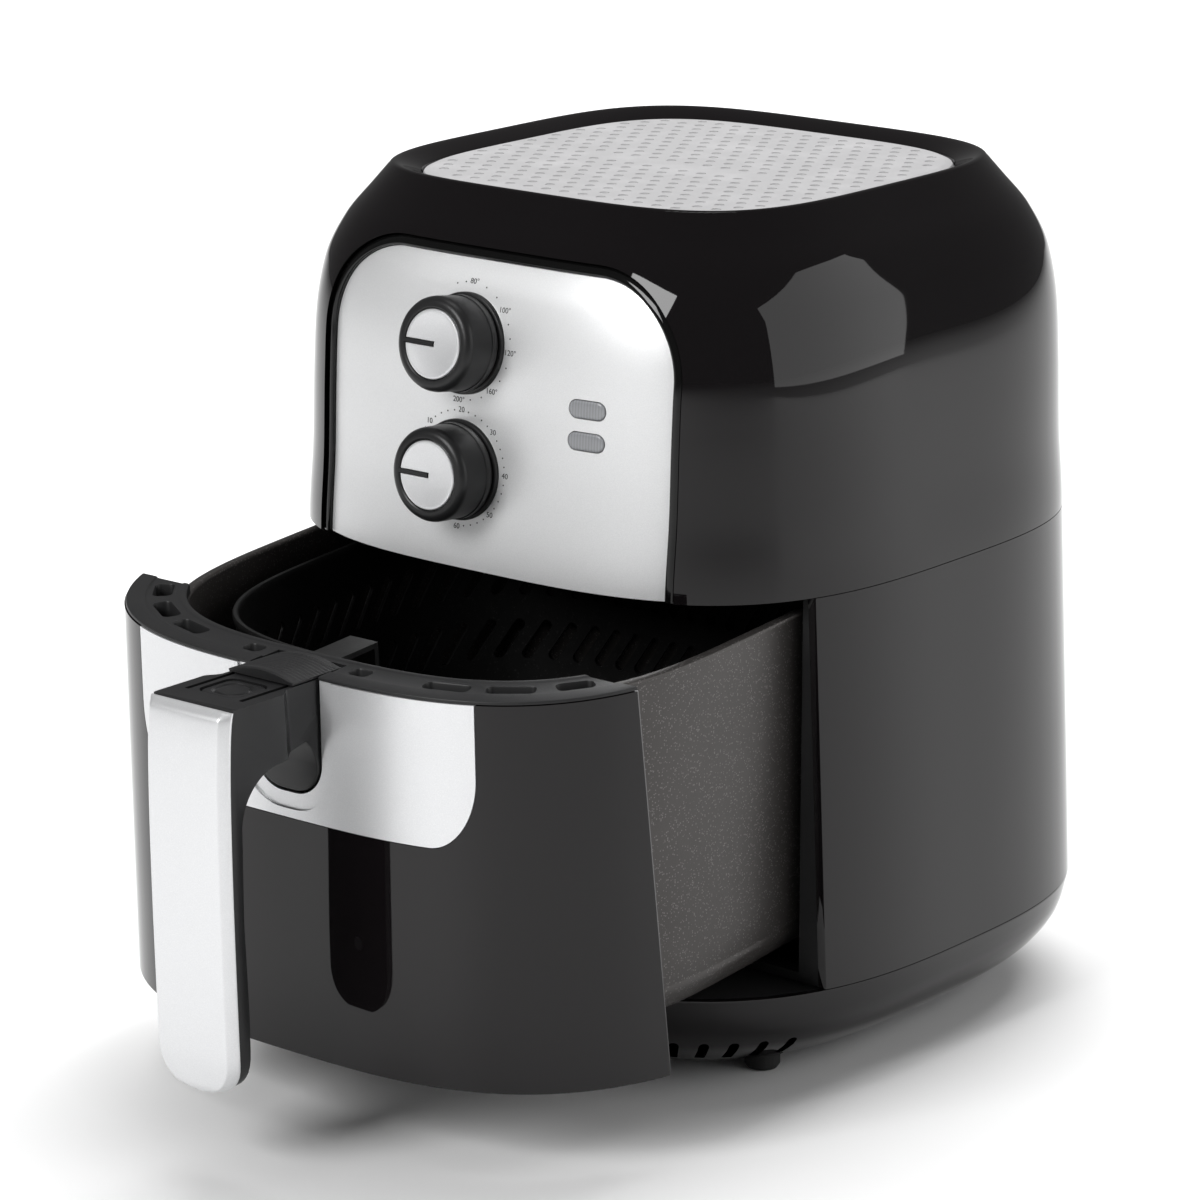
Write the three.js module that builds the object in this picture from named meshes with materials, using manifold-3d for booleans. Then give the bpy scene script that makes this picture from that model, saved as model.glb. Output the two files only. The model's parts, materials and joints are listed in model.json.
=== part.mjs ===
// A basket air fryer with two dials, its drawer partly open. Millimetres, +Z up, front towards -Y.
// The origin lies on the surface it stands on, under the middle of the part with its drawer out.
import * as THREE from 'three';
import { mergeVertices, mergeGeometries } from 'three/addons/utils/BufferGeometryUtils.js';
import Module from 'manifold-3d';

const wasm = await Module();
wasm.setup();

// ---- Driving dimensions -------------------------------------------------------------------------------------

const BODY_HEIGHT = 320;
const BODY_HALF_WIDTH = 133.6; // at the base seam, where the body is widest
const SEAM_HALF_WIDTH = BODY_HALF_WIDTH - 7.8; // where the upper housing meets the lower one
const CREST_HALF_WIDTH = BODY_HALF_WIDTH - 40.3; // the lip round the top plate
const DEPTH_EXTRA = 1.9; // how much further the body reaches in Y than in X, each way
const BASE_SEAM_Z = 39.4;
const SEAM_Z = 185.1;
const BASE_BOTTOM_Z = 6;
const HOUSING_WALL = 2.5;
const CLEARANCE = 0.3; // between pieces that rest on or in each other
const RUNNING_GAP = 2.4; // round what slides or turns

const PANEL_HALF_WIDTH = BODY_HALF_WIDTH - 54.6;
const PANEL_TOP_Z = 296.5;
const PANEL_CORNER_RADIUS = 34;
const PANEL_RECESS = 3;
const PANEL_THICKNESS = 1.4;
const BEZEL_WIDTH = 4.6;

const KNOB_X = -10;
const TEMP_KNOB_Z = 267;
const TIMER_KNOB_Z = 221;
const KNOB_RADIUS = 17.6;
const KNOB_LENGTH = 16;
const KNOB_CAP_RADIUS = 12.6;
const SHAFT_RADIUS = 3;
const LAMP_X = PANEL_HALF_WIDTH - 32.2;
const LAMP_ZS = [250.7, 239.2];
const LAMP_LENGTH = 15.2;
const LAMP_HEIGHT = 6.4;

const FOOT_RADIUS = 6.6;
const FOOT_X = BODY_HALF_WIDTH - 43.6;
const FOOT_Y = BODY_HALF_WIDTH - 64.6;

const OPENING_Y = 56.6 - BODY_HALF_WIDTH; // the front edge of the lower housing's sides
const CHAMBER_FRONT_Y = OPENING_Y + 11;
const CHAMBER_WALL = 1.2;
const CEILING_Z = 189;
const HEATER_HOLE_RADIUS = BODY_HALF_WIDTH - 53.6;
const DISH_HEIGHT = 36;
const FAN_RADIUS = HEATER_HOLE_RADIUS - 23;
const MOTOR_RADIUS = 30;
const MOTOR_HEIGHT = 32;
const COOLING_FAN_RADIUS = 34;

const FRONT_WALL = 4.5;
const DRAWER_TOP_Z = 182; // all drawer heights are with the drawer shut
const RIM_WIDTH = 20;
const RIM_THICKNESS = 2.4;
const PAN_HALF_WIDTH = BODY_HALF_WIDTH - 26.1;
const PAN_HALF_DEPTH = BODY_HALF_WIDTH - 30.6;
const PAN_FLANGE = 2.5;
const PAN_BOTTOM_Z = 45;
const PAN_TOP_Z = 177.5;
const PAN_WALL = 1.5;
const BASKET_GAP = 9; // between the pan's wall and the basket's, at the top
const BASKET_BOTTOM_Z = 60;
const BASKET_TOP_Z = 170;
const BASKET_WALL = 1.4;
const TRIM_HALF_WIDTH = PANEL_HALF_WIDTH - 0.7;
const TRIM_BOTTOM_Z = 128;
const TRIM_CORNER_WIDTH = 17;
const TRIM_CORNER_HEIGHT = 26;
const TRIM_THICKNESS = 1.2;
const TRIM_STEP = 5.8; // width of the sunk step round the handle's neck
const NECK_HALF_WIDTH = 15.2;
const POCKET_BOTTOM_Z = 137;

const HANDLE_REACH = 51; // from the drawer front to the grip's back
const HANDLE_HALF_WIDTH = 19;
const HANDLE_TOP_Z = 184.2; // at the front; the deck behind it slopes down to the rim
const HANDLE_BOTTOM_Z = 44.5;
const GRIP_THICKNESS = 8;
const COVER_BEVEL = 3.2;
const COVER_DEPTH = 3.8; // from the cover's face to its back edge
const BUTTON_HALF_WIDTH = 9;
const BUTTON_LENGTH = 18;
const BUTTON_TRAVEL = 2;
const GUARD_HALF_WIDTH = 15;
const GUARD_LENGTH = 25;
const GUARD_CROWN = 3.6;

// The open drawer hangs nose down on its play: shut to open is a turn of DRAWER_TURN about a far point below.
const DRAWER_TURN = THREE.MathUtils.degToRad(4.33);
const DECK_SLOPE = DRAWER_TURN; // the top of the handle is level while the drawer is out
const DRAWER_PIVOT_Y = -44.7;
const DRAWER_PIVOT_Z = -1141;

// ---- Solids -------------------------------------------------------------------------------------------------

const solid = (geometry) => {
  const bare = geometry.index ? geometry.toNonIndexed() : geometry.clone();
  bare.deleteAttribute('normal');
  bare.deleteAttribute('uv');
  const merged = mergeVertices(bare, 1e-4);
  return new wasm.Manifold(
    new wasm.Mesh({
      numProp: 3,
      vertProperties: merged.attributes.position.array,
      triVerts: new Uint32Array(merged.index.array),
    }),
  );
};

const geometryOf = (manifold) => {
  const { vertProperties, triVerts, numProp } = manifold.getMesh();
  const positions = new Float32Array(triVerts.length * 3);
  triVerts.forEach((vertex, i) => {
    for (let k = 0; k < 3; k += 1) positions[3 * i + k] = vertProperties[vertex * numProp + k];
  });
  const geometry = new THREE.BufferGeometry();
  geometry.setAttribute('position', new THREE.BufferAttribute(positions, 3));
  geometry.computeVertexNormals();
  return geometry;
};

const FINISHES = {
  gloss_black: { color: 0x0b0b0c, roughness: 0.12, metalness: 0 },
  satin_black: { color: 0x1b1b1c, roughness: 0.45, metalness: 0 },
  matte_black: { color: 0x202021, roughness: 0.75, metalness: 0 },
  silver: { color: 0xcfcfce, roughness: 0.35, metalness: 0.6 },
  light_grey: { color: 0xa9aaab, roughness: 0.6, metalness: 0 },
  lens: { color: 0x8d8f93, roughness: 0.25, metalness: 0 },
  coated_steel: { color: 0x4a4645, roughness: 0.55, metalness: 0.4 },
  coated_black: { color: 0x121212, roughness: 0.45, metalness: 0.2 },
  steel: { color: 0xb4b6b8, roughness: 0.4, metalness: 0.9 },
  heater_steel: { color: 0x55504c, roughness: 0.5, metalness: 0.8 },
  rubber: { color: 0x161616, roughness: 0.9, metalness: 0 },
  brass: { color: 0xb08d45, roughness: 0.35, metalness: 0.9 },
};

const airFryer = new THREE.Group();
const drawer = new THREE.Group();
airFryer.add(drawer);

const addPart = (name, finish, manifold, parent = airFryer) => {
  const mesh = new THREE.Mesh(geometryOf(manifold), new THREE.MeshStandardMaterial(FINISHES[finish]));
  mesh.name = name;
  parent.add(mesh);
};

const box = (x, y, z) => {
  const geometry = new THREE.BoxGeometry(x[1] - x[0], y[1] - y[0], z[1] - z[0]);
  return solid(geometry.translate((x[0] + x[1]) / 2, (y[0] + y[1]) / 2, (z[0] + z[1]) / 2));
};

// A cylinder along Z, or a cone where the top radius differs.
const rod = (radius, z0, z1, x = 0, y = 0, segments = 32, topRadius = radius) => {
  const geometry = new THREE.CylinderGeometry(topRadius, radius, z1 - z0, segments);
  return solid(geometry.rotateX(Math.PI / 2).translate(x, y, (z0 + z1) / 2));
};

const moved = (manifold, matrix) => solid(geometryOf(manifold).applyMatrix4(matrix));

// A closed outline of [u, v] points as a prism along Z.
const prism = (points, z0, z1) => {
  const shape = new THREE.Shape(points.map(([u, v]) => new THREE.Vector2(u, v)));
  const geometry = new THREE.ExtrudeGeometry(shape, { depth: z1 - z0, bevelEnabled: false });
  return solid(geometry.translate(0, 0, z0));
};

// The same outline stood up: [x, z] points run along Y from y0 to y1.
const frontPrism = (points, y0, y1) => {
  const upright = new THREE.Matrix4().makeRotationX(Math.PI / 2);
  return moved(prism(points, -y1, -y0), upright);
};

// The same outline as a side view: [y, z] points run along X from x0 to x1.
const sidePrism = (points, x0, x1) => {
  const sideways = new THREE.Matrix4().makeBasis(
    new THREE.Vector3(0, 1, 0),
    new THREE.Vector3(0, 0, 1),
    new THREE.Vector3(1, 0, 0),
  );
  return moved(prism(points, x0, x1), sideways);
};

const arc = (u, v, radius, from, to, steps = 8) =>
  Array.from({ length: steps + 1 }, (_, i) => {
    const angle = THREE.MathUtils.degToRad(from + ((to - from) * i) / steps);
    return [u + radius * Math.cos(angle), v + radius * Math.sin(angle)];
  });

// A U outline, open upwards: half-width u, bottom at v0, top at v1, with two round lower corners.
const uOutline = (half, v0, v1, radius) => [
  ...arc(half - radius, v0 + radius, radius, -90, 0),
  [half, v1],
  [-half, v1],
  ...arc(-half + radius, v0 + radius, radius, 180, 270),
];

const roundedBox = (halfU, halfV, radius) => [
  ...arc(halfU - radius, halfV - radius, radius, 0, 90, 5),
  ...arc(-halfU + radius, halfV - radius, radius, 90, 180, 5),
  ...arc(-halfU + radius, -halfV + radius, radius, 180, 270, 5),
  ...arc(halfU - radius, -halfV + radius, radius, 270, 360, 5),
];

// Rings of equal count, one above the other, skinned and capped.
const loft = (rings) => {
  const count = rings[0].length;
  const positions = [];
  const push = (...points) => points.forEach((point) => positions.push(...point));
  rings.slice(1).forEach((upper, i) => {
    const lower = rings[i];
    for (let k = 0; k < count; k += 1) {
      const next = (k + 1) % count;
      push(lower[k], lower[next], upper[next], lower[k], upper[next], upper[k]);
    }
  });
  const capAt = (ring, up) => {
    const centre = [0, 1, 2].map((axis) => ring.reduce((sum, point) => sum + point[axis], 0) / count);
    for (let k = 0; k < count; k += 1) {
      const next = (k + 1) % count;
      if (up) push(centre, ring[k], ring[next]);
      else push(centre, ring[next], ring[k]);
    }
  };
  capAt(rings[0], false);
  capAt(rings[rings.length - 1], true);
  const geometry = new THREE.BufferGeometry();
  geometry.setAttribute('position', new THREE.BufferAttribute(new Float32Array(positions), 3));
  return solid(geometry);
};

// ---- The body's outer form: superelliptic sections whose size and squareness change with height ---------------

const CONTOUR_POINTS = 48;

const superellipse = (halfX, halfY, exponent, z, centreY = 0) =>
  Array.from({ length: CONTOUR_POINTS }, (_, i) => {
    const angle = (2 * Math.PI * (i + 0.5)) / CONTOUR_POINTS;
    const c = Math.cos(angle);
    const s = Math.sin(angle);
    const reach = (Math.abs(c / halfX) ** exponent + Math.abs(s / halfY) ** exponent) ** (-1 / exponent);
    return [reach * c, centreY + reach * s, z];
  });

const domeHeight = BODY_HEIGHT - SEAM_Z;
const shoulder = (heightShare, insetShare) => [
  SEAM_Z + heightShare * domeHeight,
  CREST_HALF_WIDTH + (1 - insetShare) * (SEAM_HALF_WIDTH - CREST_HALF_WIDTH),
];
const keel = (heightShare, inset) => [
  BASE_BOTTOM_Z + heightShare * (BASE_SEAM_Z - BASE_BOTTOM_Z),
  BODY_HALF_WIDTH - inset,
];

// [height, half-width] up the body's side.
const SIDE_PROFILE = [
  keel(0, 26),
  keel(0.13, 19),
  keel(0.36, 9),
  keel(0.66, 2.6),
  keel(1, 0),
  [SEAM_Z, SEAM_HALF_WIDTH],
  shoulder(0.22, 0.09),
  shoulder(0.44, 0.15),
  shoulder(0.59, 0.2),
  shoulder(0.74, 0.32),
  shoulder(0.85, 0.53),
  shoulder(0.94, 0.81),
  shoulder(1, 1),
];

const halfWidthAt = (z) => {
  const top = SIDE_PROFILE.length - 1;
  const upper = SIDE_PROFILE.findIndex(([height]) => height >= z);
  const index = Math.min(Math.max(upper, 1), top);
  const [z0, w0] = SIDE_PROFILE[index - 1];
  const [z1, w1] = SIDE_PROFILE[index];
  return w0 + ((w1 - w0) * (z - z0)) / (z1 - z0);
};

const squarenessAt = (z) => {
  const up = THREE.MathUtils.clamp((z - SEAM_Z) / domeHeight, 0, 1);
  return z > SEAM_Z ? 3.17 + 0.74 * up : 2.9 + (0.27 * Math.max(z - BASE_SEAM_Z, 0)) / (SEAM_Z - BASE_SEAM_Z);
};

const bodyRing = (z, inset = 0) => {
  const halfX = halfWidthAt(z) - inset;
  return superellipse(halfX, halfX + DEPTH_EXTRA, squarenessAt(z), z);
};

// The body's solid between two heights, drawn in by an inset, with a ring at each profile height between.
const bodyBlock = (z0, z1, inset = 0) => {
  const between = SIDE_PROFILE.map(([z]) => z).filter((z) => z > z0 + 0.5 && z < z1 - 0.5);
  return loft([z0, ...between, z1].map((z) => bodyRing(z, inset)));
};

const bodyShell = (z0, z1, outerInset, innerInset) =>
  bodyBlock(z0, z1, outerInset).subtract(bodyBlock(z0 - 1, z1 + 1, innerInset));

const frontYAt = (z, inset = 0) => -(halfWidthAt(z) + DEPTH_EXTRA - inset);
const FAR = 200;
const BIG = 3 * BODY_HALF_WIDTH;
const inFrontOf = (y) => box([-BIG, BIG], [-BIG, y], [-10, BODY_HEIGHT + 60]);
const behind = (y) => box([-BIG, BIG], [y, BIG], [-10, BODY_HEIGHT + 60]);

// ---- Casings --------------------------------------------------------------------------------------------------

const panelOutline = (grow, bottomZ) => {
  const half = PANEL_HALF_WIDTH + grow;
  const radius = PANEL_CORNER_RADIUS + grow;
  const top = PANEL_TOP_Z + grow;
  return [
    [half, bottomZ],
    ...arc(half - radius, top - radius, radius, 0, 90),
    ...arc(-half + radius, top - radius, radius, 90, 180),
    [-half, bottomZ],
  ];
};

const PLATE_HALF_WIDTH = CREST_HALF_WIDTH - 10;
const PLATE_TOP_Z = BODY_HEIGHT - 3;
const PLATE_BOTTOM_Z = PLATE_TOP_Z - 4.5;
const PLATE_SQUARENESS = 3.9;
const plateRing = (z, grow) =>
  superellipse(PLATE_HALF_WIDTH + grow, PLATE_HALF_WIDTH + DEPTH_EXTRA + grow, PLATE_SQUARENESS, z);

const makeUpperHousing = () => {
  const outside = bodyBlock(SEAM_Z + CLEARANCE, BODY_HEIGHT);
  const topFloorZ = PLATE_BOTTOM_Z - CLEARANCE;
  const inside = bodyBlock(SEAM_Z - 1, topFloorZ - HOUSING_WALL, HOUSING_WALL);
  const recess = loft([plateRing(topFloorZ, CLEARANCE), plateRing(PLATE_TOP_Z - 1, CLEARANCE),
    plateRing(BODY_HEIGHT + 1, 8)]);
  const vent = loft([plateRing(topFloorZ - 20, -14), plateRing(topFloorZ + 1, -14)]);
  const window = frontPrism(panelOutline(BEZEL_WIDTH, SEAM_Z - 5), -BIG, -60);
  const backVent = frontPrism(roundedBox(34, 24, 6), 60, BIG);
  const lifted = new THREE.Matrix4().makeTranslation(0, 0, REAR_VENT_Z);
  return outside.subtract(inside).subtract(recess).subtract(vent).subtract(window)
    .subtract(moved(backVent, lifted));
};

const REAR_VENT_Z = SEAM_Z + 55;

const makeLowerHousing = () => {
  const shell = bodyShell(BASE_SEAM_Z + CLEARANCE, SEAM_Z, 0, HOUSING_WALL).subtract(inFrontOf(OPENING_Y));
  return shell.subtract(glandHole(CLEARANCE));
};

const GLAND_RADIUS = 7;
const GLAND_X = 73.6 - BODY_HALF_WIDTH;
const GLAND_Z = BASE_SEAM_Z + 22;
const glandHole = (grow) => {
  const upright = new THREE.Matrix4().makeRotationX(-Math.PI / 2);
  return moved(rod(GLAND_RADIUS + grow, 60, 160, GLAND_X, -GLAND_Z, 20), upright);
};

const makeOpeningFrame = () => {
  const outer = bodyBlock(BASE_SEAM_Z + CLEARANCE, SEAM_Z - CLEARANCE, HOUSING_WALL + CLEARANCE);
  const slice = outer.subtract(inFrontOf(OPENING_Y + 0.6)).subtract(behind(CHAMBER_FRONT_Y - 3));
  const half = PAN_HALF_WIDTH + PAN_FLANGE + 1.6;
  const way = box([-half, half], [-FAR, FAR], [BASE_SEAM_Z + 4, FAR * 2]);
  return slice.subtract(way);
};

const makeBase = () => {
  const floorZ = BASE_BOTTOM_Z + HOUSING_WALL;
  const tray = bodyBlock(BASE_BOTTOM_Z, BASE_SEAM_Z).subtract(
    bodyBlock(floorZ, BASE_SEAM_Z + 1, HOUSING_WALL),
  );
  const bosses = footPlaces.map(([x, y]) => rod(FOOT_RADIUS + 2.6, BASE_BOTTOM_Z, floorZ + 5, x, y, 24));
  const sockets = footPlaces.map(([x, y]) =>
    rod(FOOT_RADIUS + CLEARANCE, BASE_BOTTOM_Z - 1, floorZ + 3, x, y, 24));
  let base = bosses.reduce((whole, boss) => whole.add(boss), tray);
  base = sockets.reduce((whole, socket) => whole.subtract(socket), base);
  base = frontVents().reduce((whole, slot) => whole.subtract(slot), base);
  base = screwPlaces.reduce(
    (whole, [x, y]) => whole.subtract(rod(SCREW_HEAD_RADIUS + CLEARANCE, BASE_BOTTOM_Z - 1, floorZ - 1, x, y, 16)),
    base,
  );
  return floorVents(floorZ).reduce((whole, slot) => whole.subtract(slot), base);
};

const footPlaces = [
  [-FOOT_X, -FOOT_Y],
  [FOOT_X, -FOOT_Y],
  [-FOOT_X, FOOT_Y],
  [FOOT_X, FOOT_Y],
];
const SCREW_HEAD_RADIUS = 3.2;
const screwPlaces = footPlaces.map(([x, y]) => [x * 0.6, y * 1.1]);

// Slots at the foot of the front wall, fanned out round the corners.
const frontVents = () => {
  const slots = [];
  for (let angle = -54; angle <= 54; angle += 4.5) {
    const turn = new THREE.Matrix4().makeRotationZ(THREE.MathUtils.degToRad(angle));
    const slot = box([-1.9, 1.9], [-BIG, -BODY_HALF_WIDTH * 0.8], [BASE_BOTTOM_Z + 3, BASE_BOTTOM_Z + 14.5]);
    slots.push(moved(slot, turn));
  }
  return slots;
};

const floorVents = (floorZ) => {
  const slots = [];
  for (let x = -40; x <= 40; x += 20) {
    slots.push(box([x - 2, x + 2], [-30, 30], [BASE_BOTTOM_Z - 1, floorZ + 1]));
  }
  return slots;
};

const makeBaseDeck = () => {
  const top = BASE_SEAM_Z - 0.2;
  const plate = bodyBlock(top - 2.2, top, HOUSING_WALL + CLEARANCE);
  const pads = padPlaces.map((x) =>
    box([x - PAD_HALF - CLEARANCE, x + PAD_HALF + CLEARANCE], [PAD_Y[0] - CLEARANCE, PAD_Y[1] + CLEARANCE],
      [top - 1, top + 1]));
  return pads.reduce((whole, pocket) => whole.subtract(pocket), plate);
};

const PAD_HALF = 5;
const PAD_Y = [15.6 - BODY_HALF_WIDTH, 29.6 - BODY_HALF_WIDTH];
const padPlaces = [71.6 - BODY_HALF_WIDTH, BODY_HALF_WIDTH - 71.6];

const makeGlidePad = (x) => {
  const bottom = BASE_SEAM_Z - 0.2 - 1 + CLEARANCE;
  return box([x - PAD_HALF, x + PAD_HALF], PAD_Y, [bottom, BASE_SEAM_Z + 0.9]);
};

const makeFoot = (x, y) => {
  const step = rod(FOOT_RADIUS - 1, 0, 1.5, x, y, 24, FOOT_RADIUS);
  return step.add(rod(FOOT_RADIUS, 1.5, BASE_BOTTOM_Z + HOUSING_WALL + 3 - CLEARANCE, x, y, 24));
};

const makeBaseScrew = (x, y) =>
  rod(SCREW_HEAD_RADIUS, BASE_BOTTOM_Z + 0.1, BASE_BOTTOM_Z + HOUSING_WALL - 1 - CLEARANCE, x, y, 16);

const makeTopPlate = () =>
  loft([plateRing(PLATE_BOTTOM_Z, -1.5), plateRing(PLATE_TOP_Z - 1.6, 0), plateRing(PLATE_TOP_Z, -2.4)]);

addPart('upper_housing', 'gloss_black', makeUpperHousing());
addPart('lower_housing', 'gloss_black', makeLowerHousing());
addPart('opening_frame', 'satin_black', makeOpeningFrame());
addPart('base', 'gloss_black', makeBase());
addPart('base_deck', 'matte_black', makeBaseDeck());
addPart('top_plate', 'light_grey', makeTopPlate());
['left', 'right'].forEach((side, i) => addPart(`glide_pad_${side}`, 'satin_black', makeGlidePad(padPlaces[i])));
['front_left', 'front_right', 'rear_left', 'rear_right'].forEach((corner, i) => {
  addPart(`foot_${corner}`, 'rubber', makeFoot(...footPlaces[i]));
  addPart(`base_screw_${corner}`, 'steel', makeBaseScrew(...screwPlaces[i]));
});

// ---- Control panel, lamps and dials -----------------------------------------------------------------------------

const panelBottomZ = SEAM_Z + CLEARANCE;

// A frame of reference on the panel's face: +Z out of the face, +Y up it.
const panelFrame = (x, z) => {
  const faceY = frontYAt(z, PANEL_RECESS) + sag(x, z);
  const rise = frontYAt(z + 8, PANEL_RECESS) - frontYAt(z - 8, PANEL_RECESS);
  const lean = Math.atan2(rise, 16);
  const turn = new THREE.Matrix4().makeRotationX(Math.PI / 2 - lean);
  return new THREE.Matrix4().makeTranslation(x, faceY, z).multiply(turn);
};

// How far the face falls back from its middle at x.
const sag = (x, z) => {
  const halfX = halfWidthAt(z) - PANEL_RECESS;
  const n = squarenessAt(z);
  return (halfX + DEPTH_EXTRA) * (1 - (1 - Math.abs(x / halfX) ** n) ** (1 / n));
};

const onPanel = (manifold, x, z) => moved(manifold, panelFrame(x, z));

const lampOutline = (grow) => roundedBox(LAMP_LENGTH / 2 + grow, LAMP_HEIGHT / 2 + grow, LAMP_HEIGHT / 2 + grow - 0.05);

const makeControlPanel = () => {
  const sheet = bodyShell(panelBottomZ, PANEL_TOP_Z + 3, PANEL_RECESS, PANEL_RECESS + PANEL_THICKNESS);
  let panel = sheet.intersect(frontPrism(panelOutline(0, panelBottomZ), -BIG, -60));
  [TEMP_KNOB_Z, TIMER_KNOB_Z].forEach((z) => {
    panel = panel.subtract(onPanel(rod(SHAFT_RADIUS + RUNNING_GAP, -8, 8, 0, 0, 20), KNOB_X, z));
  });
  LAMP_ZS.forEach((z) => {
    panel = panel.subtract(onPanel(prism(lampOutline(CLEARANCE), -8, 8), LAMP_X, z));
  });
  return panel;
};

const makePanelBezel = () => {
  const band = bodyShell(panelBottomZ, PANEL_TOP_Z + BEZEL_WIDTH + 1, 1.2, PANEL_RECESS + PANEL_THICKNESS + 2);
  return band
    .intersect(frontPrism(panelOutline(BEZEL_WIDTH - CLEARANCE, panelBottomZ), -BIG, -60))
    .subtract(frontPrism(panelOutline(CLEARANCE, panelBottomZ - 5), -BIG, -60));
};

const makeDialRing = () =>
  rod(KNOB_RADIUS + 0.8, 0.5, 1.7, 0, 0, 32).subtract(rod(SHAFT_RADIUS + RUNNING_GAP, -1, 3, 0, 0, 20));

const KNOB_BACK = 2.3; // the dial's skirt stands this far off the panel

const makeKnob = () => {
  const faceZ = KNOB_BACK + KNOB_LENGTH;
  const profile = [
    [0, KNOB_BACK],
    [KNOB_RADIUS, KNOB_BACK],
    [KNOB_RADIUS, faceZ - 1.2],
    [KNOB_RADIUS - 1, faceZ],
    [KNOB_CAP_RADIUS + 1, faceZ],
    [KNOB_CAP_RADIUS + CLEARANCE, faceZ - 1.6],
    [0, faceZ - 1.6],
  ].map(([r, z]) => new THREE.Vector2(r, z));
  const body = solid(new THREE.LatheGeometry(profile, 32).rotateX(Math.PI / 2));
  const pointer = box([-KNOB_RADIUS + 1.4, 0], [-0.9, 0.9], [faceZ - 2, faceZ + 0.3]);
  const bore = rod(SHAFT_RADIUS + CLEARANCE, KNOB_BACK - 1, KNOB_BACK + 9, 0, 0, 20);
  return body.add(pointer).subtract(bore);
};

const makeKnobCap = () => {
  const faceZ = KNOB_BACK + KNOB_LENGTH;
  const disc = rod(KNOB_CAP_RADIUS, faceZ - 1.6 + CLEARANCE, faceZ, 0, 0, 32);
  return disc.subtract(box([-KNOB_RADIUS, CLEARANCE], [-1.2, 1.2], [faceZ - 3, faceZ + 1]));
};

const SHAFT_BACK = -14;
const makeShaft = () => rod(SHAFT_RADIUS, SHAFT_BACK, KNOB_BACK + 8.6, 0, 0, 20);

// A box behind the panel with a bore for the dial's shaft.
const makeControl = (halfX, halfY, depth, frontZ) => {
  const casing = box([-halfX, halfX], [-halfY, halfY], [frontZ - depth, frontZ]);
  return casing.subtract(rod(SHAFT_RADIUS + 0.5, SHAFT_BACK - 1, frontZ + 1, 0, 0, 20));
};

const BRACKET_FRONT = -4.5;
const BRACKET_THICKNESS = 1.5;
const CONTROL_FRONT = BRACKET_FRONT - BRACKET_THICKNESS - CLEARANCE - 0.2;

const makeControlBracket = (z) => {
  const plate = box([-24, 24], [-17, 17], [BRACKET_FRONT - BRACKET_THICKNESS, BRACKET_FRONT]);
  return onPanel(plate.subtract(rod(SHAFT_RADIUS + 1.5, -20, 0, 0, 0, 20)), KNOB_X, z);
};

const makeLamp = () => prism(lampOutline(0), -3.5, 0.5);

addPart('control_panel', 'silver', makeControlPanel());
addPart('panel_bezel', 'gloss_black', makePanelBezel());
LAMP_ZS.forEach((z, i) => addPart(['lamp_upper', 'lamp_lower'][i], 'lens', onPanel(makeLamp(), LAMP_X, z)));
[['temp', TEMP_KNOB_Z], ['timer', TIMER_KNOB_Z]].forEach(([dial, z]) => {
  addPart(`${dial}_dial_ring`, 'satin_black', onPanel(makeDialRing(), KNOB_X, z));
  addPart(`${dial}_knob`, 'satin_black', onPanel(makeKnob(), KNOB_X, z));
  addPart(`${dial}_knob_cap`, 'silver', onPanel(makeKnobCap(), KNOB_X, z));
  addPart(`${dial}_shaft`, 'steel', onPanel(makeShaft(), KNOB_X, z));
  addPart(`${dial}_bracket`, 'steel', makeControlBracket(z));
});
addPart('thermostat', 'steel', onPanel(makeControl(15, 12, 14, CONTROL_FRONT), KNOB_X, TEMP_KNOB_Z));
addPart('timer_unit', 'steel', onPanel(makeControl(20, 15, 16, CONTROL_FRONT), KNOB_X, TIMER_KNOB_Z));
addPart('timer_bell', 'brass', onPanel(rod(11, -15, -9, 34, 0, 28, 7), KNOB_X, TIMER_KNOB_Z));

// ---- Cooking chamber, heater and fans -----------------------------------------------------------------------------

// Straight sides in front, a superelliptic back.
const chamberBlock = (z0, z1, inset) => {
  const halfX = PAN_HALF_WIDTH + PAN_FLANGE + 4.5 - inset;
  const halfY = PAN_HALF_DEPTH + 9.5 - inset;
  const back = loft([superellipse(halfX, halfY, 3.6, z0), superellipse(halfX, halfY, 3.6, z1)]);
  return back.add(box([-halfX, halfX], [-halfY, 0], [z0, z1])).subtract(inFrontOf(CHAMBER_FRONT_Y));
};

const makeInnerChamber = () => {
  const shell = chamberBlock(BASE_SEAM_Z + 0.8, CEILING_Z + CHAMBER_WALL, 0)
    .subtract(chamberBlock(BASE_SEAM_Z - 1, CEILING_Z, CHAMBER_WALL));
  const front = box([-BIG, BIG], [-FAR, CHAMBER_FRONT_Y + 5], [0, CEILING_Z]);
  const half = PAN_HALF_WIDTH + PAN_FLANGE + 4.5 - CHAMBER_WALL;
  const way = front.intersect(box([-half, half], [-FAR, FAR], [0, CEILING_Z]));
  return shell.subtract(way).subtract(rod(HEATER_HOLE_RADIUS, CEILING_Z - 5, CEILING_Z + 5, 0, 0, 36));
};

const DISH_BOTTOM_Z = CEILING_Z + CHAMBER_WALL + 0.4;
const DISH_TOP_Z = DISH_BOTTOM_Z + DISH_HEIGHT;
const DISH_TOP_RADIUS = HEATER_HOLE_RADIUS - 8;
const ELEMENT_RADIUS = 4;
const ELEMENT_Z = DISH_BOTTOM_Z + 12;
const ELEMENT_RING = FAN_RADIUS + 7;
const ELEMENT_GAP_ANGLE = 0.16;

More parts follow.
